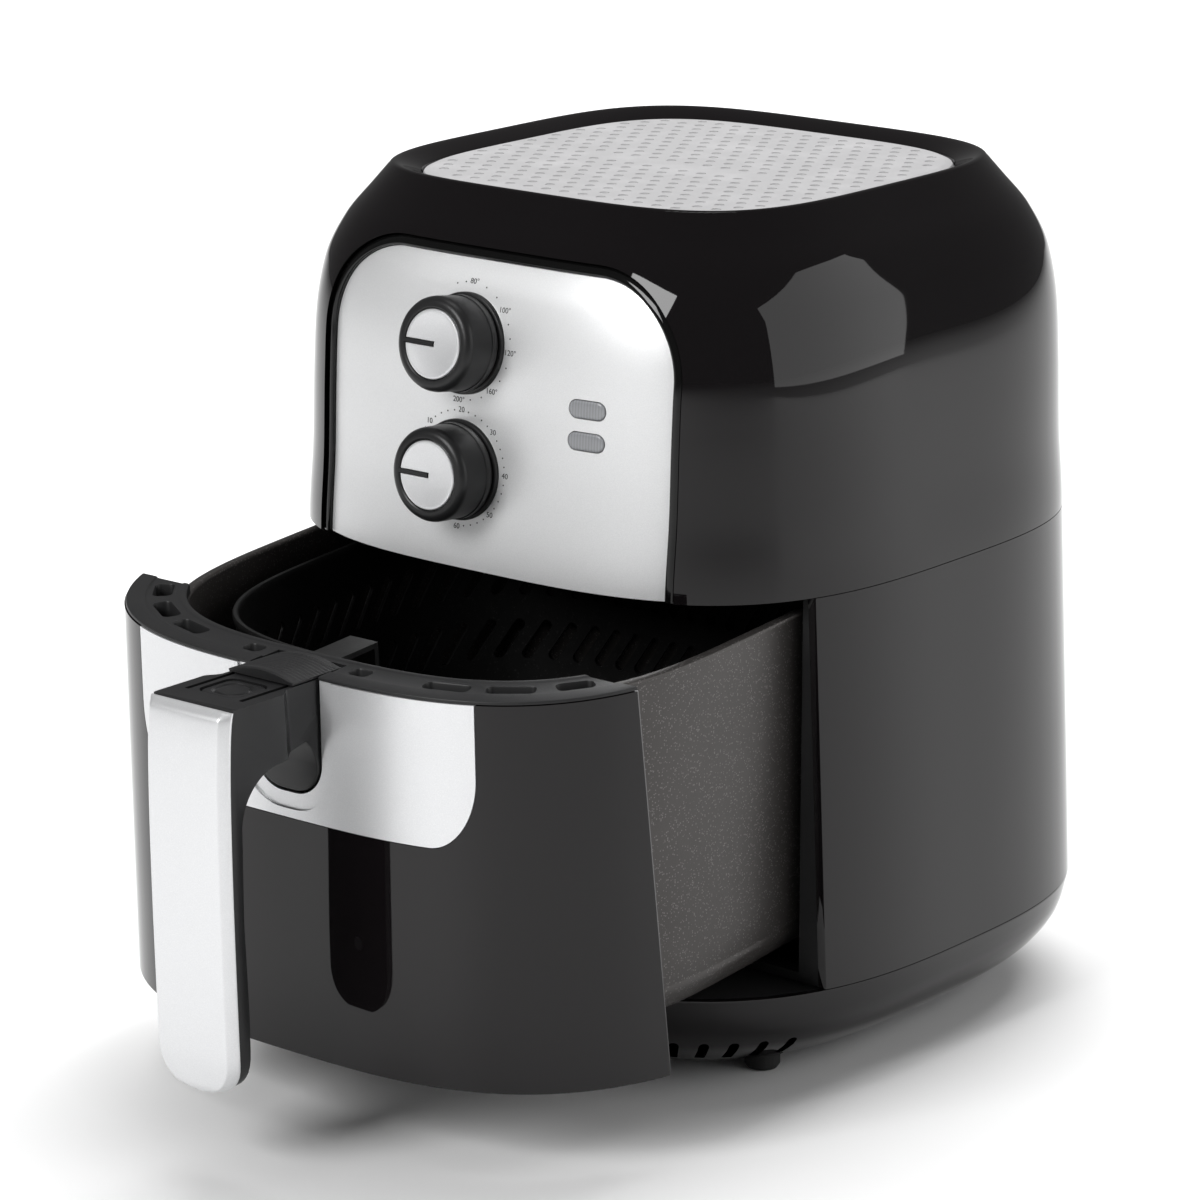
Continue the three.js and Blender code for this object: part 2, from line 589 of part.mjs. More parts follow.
const makeHeaterDish = () => {
  const wall = CHAMBER_WALL;
  const lip = HEATER_HOLE_RADIUS + 8;
  const profile = [
    [HEATER_HOLE_RADIUS - 1, DISH_BOTTOM_Z],
    [lip, DISH_BOTTOM_Z],
    [lip, DISH_BOTTOM_Z + wall],
    [HEATER_HOLE_RADIUS + 0.5, DISH_BOTTOM_Z + wall],
    [DISH_TOP_RADIUS + wall, DISH_TOP_Z],
    [7, DISH_TOP_Z],
    [7, DISH_TOP_Z - wall],
    [DISH_TOP_RADIUS, DISH_TOP_Z - wall],
    [HEATER_HOLE_RADIUS - 1, DISH_BOTTOM_Z],
  ].map(([r, z]) => new THREE.Vector2(r, z));
  const dish = solid(new THREE.LatheGeometry(profile, 36).rotateX(Math.PI / 2));
  return elementEnds().reduce(
    (whole, [x, y]) => whole.subtract(rod(ELEMENT_RADIUS + 1.2, DISH_TOP_Z - 5, DISH_TOP_Z + 5, x, y, 16)),
    dish,
  );
};

// Where the element's two ends rise through the dish, either side of the back.
const elementEnds = () => [-1, 1].map((side) => {
  const angle = Math.PI / 2 + side * ELEMENT_GAP_ANGLE;
  return [ELEMENT_RING * Math.cos(angle), ELEMENT_RING * Math.sin(angle)];
});

// One ring of rod round the fan, with both ends turned up.
class ElementPath extends THREE.Curve {
  getPoint(t, target = new THREE.Vector3()) {
    const rise = DISH_TOP_Z + 8 - ELEMENT_Z;
    const bend = 0.09;
    const share = THREE.MathUtils.clamp((t - bend) / (1 - 2 * bend), 0, 1);
    const angle = Math.PI / 2 + ELEMENT_GAP_ANGLE + 2 * (Math.PI - ELEMENT_GAP_ANGLE) * share;
    const end = Math.min(t, 1 - t);
    const lift = end < bend ? (1 - end / bend) * rise : 0;
    return target.set(ELEMENT_RING * Math.cos(angle), ELEMENT_RING * Math.sin(angle), ELEMENT_Z + lift);
  }
}

const makeHeaterElement = () => {
  const section = new THREE.Shape(arc(0, 0, ELEMENT_RADIUS, 0, 315, 7).map(([u, v]) => new THREE.Vector2(u, v)));
  return solid(new THREE.ExtrudeGeometry(section, { steps: 60, extrudePath: new ElementPath() }));
};

const makeHeaterGuard = () => {
  const z = DISH_BOTTOM_Z + 0.6;
  const ring = (radius) => rod(radius, z, z + 2, 0, 0, 24).subtract(rod(radius - 2, z - 1, z + 3, 0, 0, 24));
  const reach = HEATER_HOLE_RADIUS - 4;
  const bars = [box([-reach, reach], [-1, 1], [z, z + 2]), box([-1, 1], [-reach, reach], [z, z + 2])];
  return [0.34, 0.67, 1].map((share) => ring(reach * share)).concat(bars)
    .reduce((whole, piece) => whole.add(piece));
};

const MOTOR_Z = DISH_TOP_Z + 10;
const SHAFT_BORE = SHAFT_RADIUS + 0.5;
const FAN_Z = ELEMENT_Z + ELEMENT_RADIUS + 2.5;
const COOLING_FAN_Z = MOTOR_Z + MOTOR_HEIGHT + 5;

// A hub, a disc and straight blades above it, with a bore for the motor's shaft.
const makeFan = (radius, z, bladeHeight, blades) => {
  let fan = rod(radius, z, z + 1.4, 0, 0, 28).add(rod(8, z, z + bladeHeight, 0, 0, 20));
  for (let i = 0; i < blades; i += 1) {
    const turn = new THREE.Matrix4().makeRotationZ((2 * Math.PI * i) / blades);
    fan = fan.add(moved(box([7, radius - 1], [-0.8, 0.8], [z, z + bladeHeight]), turn));
  }
  return fan.subtract(rod(SHAFT_RADIUS + CLEARANCE, z - 1, z + bladeHeight + 1, 0, 0, 20));
};

const makeMotor = () => {
  const can = rod(MOTOR_RADIUS, MOTOR_Z, MOTOR_Z + MOTOR_HEIGHT, 0, 0, 36);
  const ends = rod(11, MOTOR_Z - 2, MOTOR_Z + MOTOR_HEIGHT + 2, 0, 0, 24);
  return can.add(ends).subtract(rod(SHAFT_BORE, MOTOR_Z - 5, MOTOR_Z + MOTOR_HEIGHT + 5, 0, 0, 20));
};

const makeMotorBracket = () => {
  const plateTop = MOTOR_Z - CLEARANCE;
  const reach = MOTOR_RADIUS + 10;
  const plate = box([-reach, reach], [-16, 16], [plateTop - 1.5, plateTop]);
  const legs = [-1, 1].map((side) =>
    box([side * reach - 1, side * reach + 1], [-16, 16], [DISH_TOP_Z + CLEARANCE, plateTop]));
  return legs.reduce((whole, leg) => whole.add(leg), plate).subtract(rod(12, 0, BODY_HEIGHT, 0, 0, 24));
};

addPart('inner_chamber', 'steel', makeInnerChamber());
addPart('heater_dish', 'steel', makeHeaterDish());
addPart('heater_element', 'heater_steel', makeHeaterElement());
addPart('heater_guard', 'steel', makeHeaterGuard());
addPart('motor', 'steel', makeMotor());
addPart('motor_bracket', 'steel', makeMotorBracket());
addPart('motor_shaft', 'steel', rod(SHAFT_RADIUS, FAN_Z - 1, COOLING_FAN_Z + 11, 0, 0, 20));
addPart('hot_air_fan', 'steel', makeFan(FAN_RADIUS, FAN_Z, 11, 8));
addPart('cooling_fan', 'matte_black', makeFan(COOLING_FAN_RADIUS, COOLING_FAN_Z, 9, 6));

// ---- Rear and electrical pieces -------------------------------------------------------------------------------------

const makeRearVent = () => {
  const sheet = bodyShell(REAR_VENT_Z - 30, REAR_VENT_Z + 30, 0.4, HOUSING_WALL);
  const lifted = new THREE.Matrix4().makeTranslation(0, 0, REAR_VENT_Z);
  let grille = sheet.intersect(moved(frontPrism(roundedBox(34 - CLEARANCE, 24 - CLEARANCE, 6), 60, BIG), lifted));
  for (let row = -2; row <= 2; row += 1) {
    const z = REAR_VENT_Z + row * 8;
    grille = grille.subtract(box([-27, 27], [60, BIG], [z - 2, z + 2]));
  }
  return grille;
};

const makeCordGland = () => {
  const faceY = -frontYAt(GLAND_Z) - sagAtBack(GLAND_X);
  const collar = glandHole(2.5).intersect(box([-BIG, BIG], [faceY + CLEARANCE + 1.5, faceY + 6], [0, BIG]));
  const body = glandHole(0).intersect(box([-BIG, BIG], [faceY - 7, faceY + 6], [0, BIG]));
  const bore = new THREE.Matrix4().makeRotationX(-Math.PI / 2);
  return body.add(collar).subtract(moved(rod(3.6, 60, 160, GLAND_X, -GLAND_Z, 16), bore));
};

const sagAtBack = (x) => {
  const halfX = halfWidthAt(GLAND_Z);
  const n = squarenessAt(GLAND_Z);
  return (halfX + DEPTH_EXTRA) * (1 - (1 - Math.abs(x / halfX) ** n) ** (1 / n));
};

addPart('rear_vent', 'satin_black', makeRearVent());
addPart('cord_gland', 'rubber', makeCordGland());
addPart('terminal_block', 'light_grey', box([24, 52], [72, 86], [DISH_TOP_Z + 2, DISH_TOP_Z + 16]));
addPart('safety_switch', 'matte_black', box([84, 96], [-100, -86], [CEILING_Z + 4, CEILING_Z + 18]));

// ---- Drawer: pan, front, rim and basket -------------------------------------------------------------------------------

const panRing = (z, inset) => superellipse(PAN_HALF_WIDTH - inset, PAN_HALF_DEPTH - inset, 3.6, z);

const makePan = () => {
  const flangeZ = PAN_TOP_Z - 2;
  const outer = loft([panRing(PAN_BOTTOM_Z, 9), panRing(PAN_BOTTOM_Z + 12, 1.6), panRing(PAN_TOP_Z, 0)])
    .add(loft([panRing(flangeZ, -PAN_FLANGE), panRing(PAN_TOP_Z, -PAN_FLANGE)]));
  const inner = loft([
    panRing(PAN_BOTTOM_Z + PAN_WALL, 9 + PAN_WALL * 0.6),
    panRing(PAN_BOTTOM_Z + 12 + PAN_WALL * 0.4, 1.6 + PAN_WALL),
    panRing(PAN_TOP_Z + 1, PAN_WALL),
  ]);
  return outer.subtract(inner);
};

// The trim's front view: a U whose lower corners are taller than they are wide.
const trimOutline = (grow) => {
  const across = TRIM_CORNER_WIDTH + grow;
  const up = TRIM_CORNER_HEIGHT + grow;
  const corner = arc(0, 0, 1, -90, 0, 10).map(([u, v]) => [
    TRIM_HALF_WIDTH - TRIM_CORNER_WIDTH + across * u,
    TRIM_BOTTOM_Z + TRIM_CORNER_HEIGHT + up * v,
  ]);
  const right = [...corner, [TRIM_HALF_WIDTH + grow, FAR + 20]];
  return [...right, ...right.map(([u, v]) => [-u, v]).reverse()];
};
const pocketOutline = (grow) =>
  uOutline(NECK_HALF_WIDTH + 0.8 + grow, POCKET_BOTTOM_Z - grow, FAR + 20, Math.min(13 + grow, NECK_HALF_WIDTH));
const STEP_DEPTH = 1.6;
const frontTopZ = DRAWER_TOP_Z - RIM_THICKNESS * 0.5 - CLEARANCE;

const makeDrawerFront = () => {
  const shell = bodyShell(BASE_SEAM_Z + CLEARANCE, frontTopZ, 0, FRONT_WALL).subtract(behind(OPENING_Y - CLEARANCE));
  const flat = (outline, depth) =>
    bodyShell(BASE_SEAM_Z + 20, FAR, -1, depth).intersect(frontPrism(outline, -BIG, -60));
  return shell
    .subtract(flat(trimOutline(CLEARANCE), TRIM_THICKNESS + CLEARANCE))
    .subtract(flat(pocketOutline(TRIM_STEP + 1.2), TRIM_THICKNESS + STEP_DEPTH + CLEARANCE))
    .subtract(frontPrism(pocketOutline(0), -BIG, -60));
};

const makeDrawerTrim = () => {
  const top = frontTopZ;
  const face = bodyShell(BASE_SEAM_Z + 60, top, 0, TRIM_THICKNESS)
    .intersect(frontPrism(trimOutline(0), -BIG, -60))
    .subtract(frontPrism(pocketOutline(TRIM_STEP), -BIG, -60));
  const step = bodyShell(BASE_SEAM_Z + 60, top, STEP_DEPTH * 0.6, TRIM_THICKNESS + STEP_DEPTH * 0.8)
    .intersect(frontPrism(pocketOutline(TRIM_STEP + 0.8), -BIG, -60))
    .subtract(frontPrism(pocketOutline(0), -BIG, -60));
  return face.add(step);
};

// The rim's vent slots: [middle x, length] along its curve, mirrored.
const RIM_SLOTS = [
  [SEAM_HALF_WIDTH - 65.8, 16],
  [SEAM_HALF_WIDTH - 44.8, 17],
  [SEAM_HALF_WIDTH - 28.8, 12],
];

const coreBackY = frontYAt(SEAM_Z) + 15; // where the handle's neck ends, inside the rim
const STRAP_HALF = 6.5;
const STRAP_TOP_Z = PAN_TOP_Z + 2.8;

const makeDrawerRim = () => {
  const bottom = DRAWER_TOP_Z - RIM_THICKNESS * 0.5;
  const plate = bodyShell(DRAWER_TOP_Z - RIM_THICKNESS, DRAWER_TOP_Z, FRONT_WALL + CLEARANCE - 0.2, RIM_WIDTH);
  const lip = bodyShell(bottom, DRAWER_TOP_Z, 0.4, RIM_WIDTH);
  const skirt = bodyShell(DRAWER_TOP_Z - 9, DRAWER_TOP_Z, FRONT_WALL + 0.6, FRONT_WALL + 2.6);
  const strapWay = box([-STRAP_HALF - CLEARANCE, STRAP_HALF + CLEARANCE], [-BIG, 0], [PAN_TOP_Z, STRAP_TOP_Z + CLEARANCE]);
  let rim = plate.add(lip).add(skirt).subtract(behind(OPENING_Y - CLEARANCE));
  rim = rim.subtract(frontPrism(pocketOutline(0), -BIG, coreBackY + CLEARANCE)).subtract(strapWay);
  [-1, 1].forEach((side) => {
    RIM_SLOTS.forEach(([x, length]) => {
      rim = rim.subtract(rimSlot(side * x, length, 6.4));
    });
    rim = rim.subtract(rimSlot(side * 25, 8, 6));
  });
  return rim.subtract(loft([panRing(DRAWER_TOP_Z - 20, -PAN_FLANGE - 0.6),
    panRing(PAN_TOP_Z + 0.6, -PAN_FLANGE - 0.6)]));
};

// A through slot that follows the rim's curve at x.
const rimSlot = (x, length, width) => {
  const middle = RIM_WIDTH / 2 + 2;
  const halfX = SEAM_HALF_WIDTH - middle;
  const n = squarenessAt(SEAM_Z);
  const y = -(halfX + DEPTH_EXTRA) * (1 - Math.abs(x / halfX) ** n) ** (1 / n);
  const slope = Math.atan2(Math.sign(x) * Math.abs(x / halfX) ** (n - 1), Math.abs(y / halfX) ** (n - 1));
  const place = new THREE.Matrix4().makeTranslation(x, y, 0).multiply(new THREE.Matrix4().makeRotationZ(slope));
  const outline = roundedBox(length / 2, width / 2, 2);
  return moved(prism(outline, DRAWER_TOP_Z - 12, DRAWER_TOP_Z + 3), place);
};

const latchPocketY = frontYAt(SEAM_Z, FRONT_WALL) + 1;

const makeLatchPocket = () => {
  const half = NECK_HALF_WIDTH + 6;
  const plate = frontPrism(uOutline(half, POCKET_BOTTOM_Z - 7, 157, 14), latchPocketY, latchPocketY + 2);
  return plate.subtract(box([-4, 4], [-BIG, 0], [148, 152]));
};

const basketRing = (z, inset) =>
  superellipse(PAN_HALF_WIDTH - BASKET_GAP - inset, PAN_HALF_DEPTH - BASKET_GAP - 6 - inset, 3.4, z, 3);
const basketFrontY = 3 - (PAN_HALF_DEPTH - BASKET_GAP - 6);

const makeBasket = () => {
  const outer = loft([basketRing(BASKET_BOTTOM_Z, 10), basketRing(BASKET_BOTTOM_Z + 9, 4), basketRing(BASKET_TOP_Z, 0)]);
  const inner = loft([
    basketRing(BASKET_BOTTOM_Z + BASKET_WALL, 10 + BASKET_WALL * 0.6),
    basketRing(BASKET_BOTTOM_Z + 9 + BASKET_WALL * 0.4, 4 + BASKET_WALL),
    basketRing(BASKET_TOP_Z + 1, BASKET_WALL),
  ]);
  let basket = outer.subtract(inner);
  for (let x = -60; x <= 60; x += 15) {
    basket = basket.subtract(box([x - 1.5, x + 1.5], [-48, 54], [BASKET_BOTTOM_Z - 1, BASKET_BOTTOM_Z + 4]));
  }
  return basket;
};

// ---- Handle, its cover, the release button and its sliding guard --------------------------------------------------------

const frontFaceY = frontYAt(SEAM_Z);
const gripBackY = frontFaceY - HANDLE_REACH + 4;
const handleFaceZ = HANDLE_TOP_Z - 0.6;

// The cover's front face: the grip bows outwards below its shoulder.
const coverFaceY = (z) => {
  const down = (HANDLE_TOP_Z - z) / (HANDLE_TOP_Z - HANDLE_BOTTOM_Z);
  return gripBackY - GRIP_THICKNESS + 6.6 - 11 * down ** 0.5 + (down > 0.9 ? (down - 0.9) * 14 : 0);
};

// Half-width of the handle's front view, rounded at the bottom.
const handleHalfAt = (z) => {
  const cornerTop = HANDLE_BOTTOM_Z + 16;
  if (z >= cornerTop) return HANDLE_HALF_WIDTH;
  return HANDLE_HALF_WIDTH * (1 - ((cornerTop - z) / 16.4) ** 2.5) ** 0.4;
};

const handleHeights = () => {
  const heights = [0, 0.5, 1.5, 3.5, 7, 11, 16].map((rise) => HANDLE_BOTTOM_Z + rise);
  for (let z = HANDLE_BOTTOM_Z + 32; z < handleFaceZ - 6; z += 17) heights.push(z);
  return [...heights, handleFaceZ - 3, handleFaceZ];
};

const makeHandleCover = () => {
  const ring = (z) => {
    const half = handleHalfAt(z);
    const back = coverFaceY(z) + COVER_DEPTH;
    const face = z > handleFaceZ - 1 ? back - 2 : back - COVER_DEPTH;
    const inner = Math.max(half - COVER_BEVEL, half * 0.5);
    const edge = Math.min(face + COVER_BEVEL, back - 0.5);
    return [
      [half, back, z],
      [half, edge, z],
      [inner, face, z],
      [0, face - 0.35, z],
      [-inner, face, z],
      [-half, edge, z],
      [-half, back, z],
    ].reverse();
  };
  return loft(handleHeights().map(ring));
};

const makeHandleCore = () => {
  const backOfCover = (z) => coverFaceY(z) + COVER_DEPTH + CLEARANCE;
  const heights = [HANDLE_BOTTOM_Z + 0.4, ...handleHeights().slice(1)];
  const frontLine = heights.map((z) => [backOfCover(z), z]).concat([[backOfCover(handleFaceZ), HANDLE_TOP_Z]]);
  const neckUnder = 158.5;
  const profile = [
    ...frontLine,
    [coreBackY, HANDLE_TOP_Z],
    [coreBackY, HANDLE_TOP_Z - 13],
    [frontFaceY + 1, HANDLE_TOP_Z - 15],
    [frontFaceY - 6, neckUnder + 2],
    ...arc(gripBackY + 22, neckUnder - 20, 20, 84, 170, 7),
    [gripBackY - 0.3, 108],
    [gripBackY - 1, 80],
    [gripBackY - 3, HANDLE_BOTTOM_Z + 0.4],
  ];
  const side = sidePrism(profile.reverse(), -30, 30);
  const frontView = frontPrism(
    [
      ...handleHeights().map((z) => [handleHalfAt(z) - 0.5, z]),
      [HANDLE_HALF_WIDTH - 0.5, HANDLE_TOP_Z + 5],
      [-HANDLE_HALF_WIDTH + 0.5, HANDLE_TOP_Z + 5],
      ...handleHeights().reverse().map((z) => [-handleHalfAt(z) + 0.5, z]),
    ],
    -BIG,
    0,
  );
  const waistY = frontFaceY - 14;
  const topView = prism(
    [
      [NECK_HALF_WIDTH, 0],
      [-NECK_HALF_WIDTH, 0],
      [-NECK_HALF_WIDTH, waistY],
      [-HANDLE_HALF_WIDTH, waistY - 8],
      [-HANDLE_HALF_WIDTH, -BIG],
      [HANDLE_HALF_WIDTH, -BIG],
      [HANDLE_HALF_WIDTH, waistY - 8],
      [NECK_HALF_WIDTH, waistY],
    ],
    0,
    FAR + 20,
  );
  const core = side.intersect(frontView).intersect(topView).add(makeHandleRoot());
  const length = coreBackY - deckY;
  const above = onDeck(box([-BIG, BIG], [0.1, 2 * length], [0, 40]));
  const well = onDeck(box(
    [-BUTTON_HALF_WIDTH - 0.5, BUTTON_HALF_WIDTH + 0.5],
    [BUTTON_START - 0.5, BUTTON_START + BUTTON_LENGTH + 0.5],
    [-WELL_DEPTH, 1],
  ));
  const grooves = [-1, 1].map((side) =>
    onDeck(box([side * GROOVE_X - 1, side * GROOVE_X + 1], [BUTTON_START - 1, 2 * length], [-2.2, 1])));
  const holes = screwHeights.map((z) => moved(rod(2.8, 0, BIG, 0, z, 16), screwTurn));
  const cut = holes.map((hole) => hole.intersect(box([-5, 5], [gripBackY - SCREW_DEPTH - CLEARANCE, frontFaceY - 20], [0, 150])));
  return [above, well, ...grooves, ...cut].reduce((whole, piece) => whole.subtract(piece), core);
};

// The handle's root fills the pocket in the drawer's front below the neck.
const makeHandleRoot = () => {
  const back = latchPocketY - CLEARANCE;
  const bottom = POCKET_BOTTOM_Z + 0.8;
  const face = frontFaceY - 1.2;
  const profile = [
    [back, bottom],
    [back, 172],
    [face - 4, 172],
    [face - 5, 162.5],
    [face - 2, 157.5],
    [face - 0.5, 151],
    [face - 0.5, bottom],
  ];
  const outline = uOutline(NECK_HALF_WIDTH, bottom, FAR, 12.4);
  return sidePrism(profile.reverse(), -30, 30).intersect(frontPrism(outline, -BIG, 0));
};

const deckY = coverFaceY(HANDLE_TOP_Z) + COVER_DEPTH + CLEARANCE;
const deckFrame = new THREE.Matrix4()
  .makeTranslation(0, deckY, HANDLE_TOP_Z)
  .multiply(new THREE.Matrix4().makeRotationX(-DECK_SLOPE));
// A solid whose +Y runs back along the handle's deck and +Z out of it.
const onDeck = (manifold) => moved(manifold, deckFrame);

const BUTTON_START = 10.3; // along the deck
const GUARD_START = 32.9;
const WELL_DEPTH = 12;
const GROOVE_X = GUARD_HALF_WIDTH - 2.4;
const screwHeights = [70, 120];
const SCREW_DEPTH = 2.8;
const screwTurn = new THREE.Matrix4().makeRotationX(Math.PI / 2);

const makeHandleScrew = (z) => {
  const head = moved(rod(2.5, 0, BIG, 0, z, 16), screwTurn);
  return head.intersect(box([-5, 5], [gripBackY - SCREW_DEPTH, gripBackY - SCREW_DEPTH + 1.6], [0, 150]));
};

const buttonMiddle = BUTTON_START + BUTTON_LENGTH / 2;

const makeReleaseButton = () => {
  const outline = roundedBox(BUTTON_HALF_WIDTH, BUTTON_LENGTH / 2, 4).map(([x, y]) => [x, y + buttonMiddle]);
  const cap = prism(outline, -4.6, -0.4);
  return onDeck(cap.add(rod(3, -8.6, -4, 0, buttonMiddle, 16)));
};

const makeButtonSpring = () => {
  const z0 = -WELL_DEPTH + CLEARANCE;
  const z1 = -4.6 - CLEARANCE;
  const outer = rod(5.2, z0, z1, 0, buttonMiddle, 24);
  return onDeck(outer.subtract(rod(3.9, z0 - 1, z1 + 1, 0, buttonMiddle, 24)));
};

const makeButtonGuard = () => {
  const foot = 0.35;
  const radius = (GUARD_HALF_WIDTH ** 2 + (GUARD_CROWN - 0.9) ** 2) / (2 * (GUARD_CROWN - 0.9));
  const spread = THREE.MathUtils.radToDeg(Math.asin(GUARD_HALF_WIDTH / radius));
  const outline = [
    [GUARD_HALF_WIDTH, foot],
    ...arc(0, foot + GUARD_CROWN - radius, radius, 90 - spread, 90 + spread, 10),
    [-GUARD_HALF_WIDTH, foot],
  ];
  const cover = frontPrism(outline, GUARD_START, GUARD_START + GUARD_LENGTH);
  const rails = [-1, 1].map((side) =>
    box([side * GROOVE_X - 0.6, side * GROOVE_X + 0.6],
      [GUARD_START + 1, GUARD_START + GUARD_LENGTH - 3], [-1.8, foot + 0.5]));
  return onDeck(rails.reduce((whole, rail) => whole.add(rail), cover));
};

// A steel strip from the handle over the pan's edge to the basket's front wall.
const makeBasketBracket = () => {
  const under = STRAP_TOP_Z - 2;
  const start = coreBackY + CLEARANCE;
  const reach = basketFrontY - 0.6;
  return sidePrism([
    [start, under],
    [reach - 2, under],
    [reach - 2, BASKET_TOP_Z - 34],
    [reach, BASKET_TOP_Z - 34],
    [reach, STRAP_TOP_Z],
    [start, STRAP_TOP_Z],
  ], -STRAP_HALF, STRAP_HALF);
};

addPart('pan', 'coated_steel', makePan(), drawer);
addPart('drawer_front', 'gloss_black', makeDrawerFront(), drawer);
addPart('drawer_trim', 'silver', makeDrawerTrim(), drawer);
addPart('drawer_rim', 'matte_black', makeDrawerRim(), drawer);
addPart('latch_pocket', 'satin_black', makeLatchPocket(), drawer);
addPart('basket', 'coated_black', makeBasket(), drawer);
addPart('basket_bracket', 'coated_black', makeBasketBracket(), drawer);
addPart('handle_core', 'satin_black', makeHandleCore(), drawer);
addPart('handle_cover', 'silver', makeHandleCover(), drawer);
screwHeights.forEach((z, i) => addPart(['handle_screw_lower', 'handle_screw_upper'][i], 'steel', makeHandleScrew(z), drawer));
addPart('release_button', 'satin_black', makeReleaseButton(), drawer);
addPart('button_spring', 'steel', makeButtonSpring(), drawer);
addPart('button_guard', 'matte_black', makeButtonGuard(), drawer);

// The drawer swings out on its long arc.
drawer.position.set(0, DRAWER_PIVOT_Y, DRAWER_PIVOT_Z);
drawer.rotation.x = DRAWER_TURN;
drawer.children.forEach((piece) => piece.position.set(0, -DRAWER_PIVOT_Y, -DRAWER_PIVOT_Z));

// The origin is on the floor under the middle of the whole part with its drawer out.
airFryer.updateMatrixWorld(true);
const middle = new THREE.Box3().setFromObject(airFryer, true).getCenter(new THREE.Vector3());
airFryer.children.forEach((piece) => {
  piece.position.y -= middle.y;
});

export default airFryer;
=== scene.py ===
import json
import math

import bmesh
import bpy
import numpy as np
from mathutils import Euler, Matrix, Vector


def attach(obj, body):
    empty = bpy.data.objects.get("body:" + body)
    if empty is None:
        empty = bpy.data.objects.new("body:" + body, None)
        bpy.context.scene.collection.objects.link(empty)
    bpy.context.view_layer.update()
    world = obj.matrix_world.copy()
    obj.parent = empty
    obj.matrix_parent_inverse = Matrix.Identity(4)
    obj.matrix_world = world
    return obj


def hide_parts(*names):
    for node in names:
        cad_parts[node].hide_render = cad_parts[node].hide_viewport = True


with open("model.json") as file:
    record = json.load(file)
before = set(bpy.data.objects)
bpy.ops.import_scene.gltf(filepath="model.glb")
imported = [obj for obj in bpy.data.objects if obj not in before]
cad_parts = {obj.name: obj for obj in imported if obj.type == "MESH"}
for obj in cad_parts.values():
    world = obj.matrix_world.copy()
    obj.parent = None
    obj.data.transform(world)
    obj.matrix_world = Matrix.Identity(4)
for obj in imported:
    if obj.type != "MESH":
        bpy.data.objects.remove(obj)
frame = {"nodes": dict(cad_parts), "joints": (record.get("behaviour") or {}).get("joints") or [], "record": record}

bl_info = {
    "name": "Basket air fryer",
    "version": (1, 0, 0),
    "blender": (4, 5, 0),
    "location": "3D View > Sidebar > Air fryer",
    "description": "Builds the visible pieces, finishes and stage of a basket air fryer",
    "category": "Object",
}

# ---- Sizes, in millimetres ----------------------------------------------------------------------

MM = 0.001
BODY_HEIGHT = 320.0
BASE_BOTTOM_Z = 6.0
BASE_SEAM_Z = 39.4
SEAM_Z = 185.1
DEPTH_EXTRA = 1.9
WALL = 2.5
GAP = 0.3
KEEL = [(6.0, 107.6), (10.34, 114.6), (18.02, 124.6), (28.04, 131.0), (39.4, 133.55)]
SHOULDER = [(185.1, 125.75), (214.78, 122.85), (244.46, 120.9), (264.69, 119.2), (284.93, 115.3),
            (299.77, 108.5), (311.91, 99.4), (318.8, 94.1)]
PLATE_HALF = 83.3
PLATE_TOP_Z = 317.0
PLATE_FLOOR_Z = 312.2
PLATE_SQUARENESS = 3.9
DIMPLE_PITCH = 8.5
DIMPLED = (77.0, 78.5)  # how far the dimples reach along X and Y
FOOT_SPOTS = [(x, y) for x in (-90, 90) for y in (-69, 69)]
SCREW_SPOTS = [(x * 0.6, y * 1.1) for x, y in FOOT_SPOTS]
FOOT_BOSS = 9.2
FOOT_SOCKET = 6.9
SCREW_RECESS = 3.5
BASE_SLOT_HALF = 1.9
BASE_SLOT_Z = 13.5
BASE_SLOT_SPREAD = 54
BASE_SLOT_STEP = 4.5
GLAND_SPOT = (-60.0, 61.4)
GLAND_RADIUS = 7.3
REAR_VENT_Z = SEAM_Z + 55

PANEL_HALF = 79.0
PANEL_TOP_Z = 296.5
PANEL_CORNER = 34.0
PANEL_BOTTOM_Z = 185.4
PANEL_RECESS = 3.0
PANEL_THICKNESS = 1.4
BEZEL_WIDTH = 4.6
KNOB_X = -10.0
TEMP_Z = 267.0
TIMER_Z = 221.0
KNOB_RADIUS = 17.6
KNOB_BACK = 2.3
KNOB_LENGTH = 16.0
CAP_RADIUS = 12.6
LAMP_X = 46.8
LAMP_ZS = (250.7, 239.2)
LAMP_SIZE = (15.2, 6.4)
NUMBER_SIZE = 2.9
NUMBER_RADIUS = 21.3
DOT_RADIUS = 21.0

OPENING_Y = -77.0
FRONT_WALL = 4.5
RIM_TOP_Z = 182.0
RIM_WIDTH = 20.0
FRONT_TOP_Z = 180.5
TRIM_HALF = 78.3
TRIM_BOTTOM_Z = 128.0
TRIM_CORNER = (17.0, 26.0)
TRIM_THICKNESS = 1.2
TRIM_STEP = 5.8
STEP_DEPTH = 1.6
NECK_HALF = 15.2
POCKET_BOTTOM_Z = 137.0
PAN = (107.5, 103.0, 3.6)  # half width, half depth and squareness at the top
BASKET = (98.5, 88.0, 3.4)
BASKET_Y = 3.0
STRAP_WAY_HALF = 6.8
RIM_SLOTS = ((60, 17, 6.4), (81, 17, 6.6), (97, 13, 7.0), (25, 8, 6))  # middle x, length, width

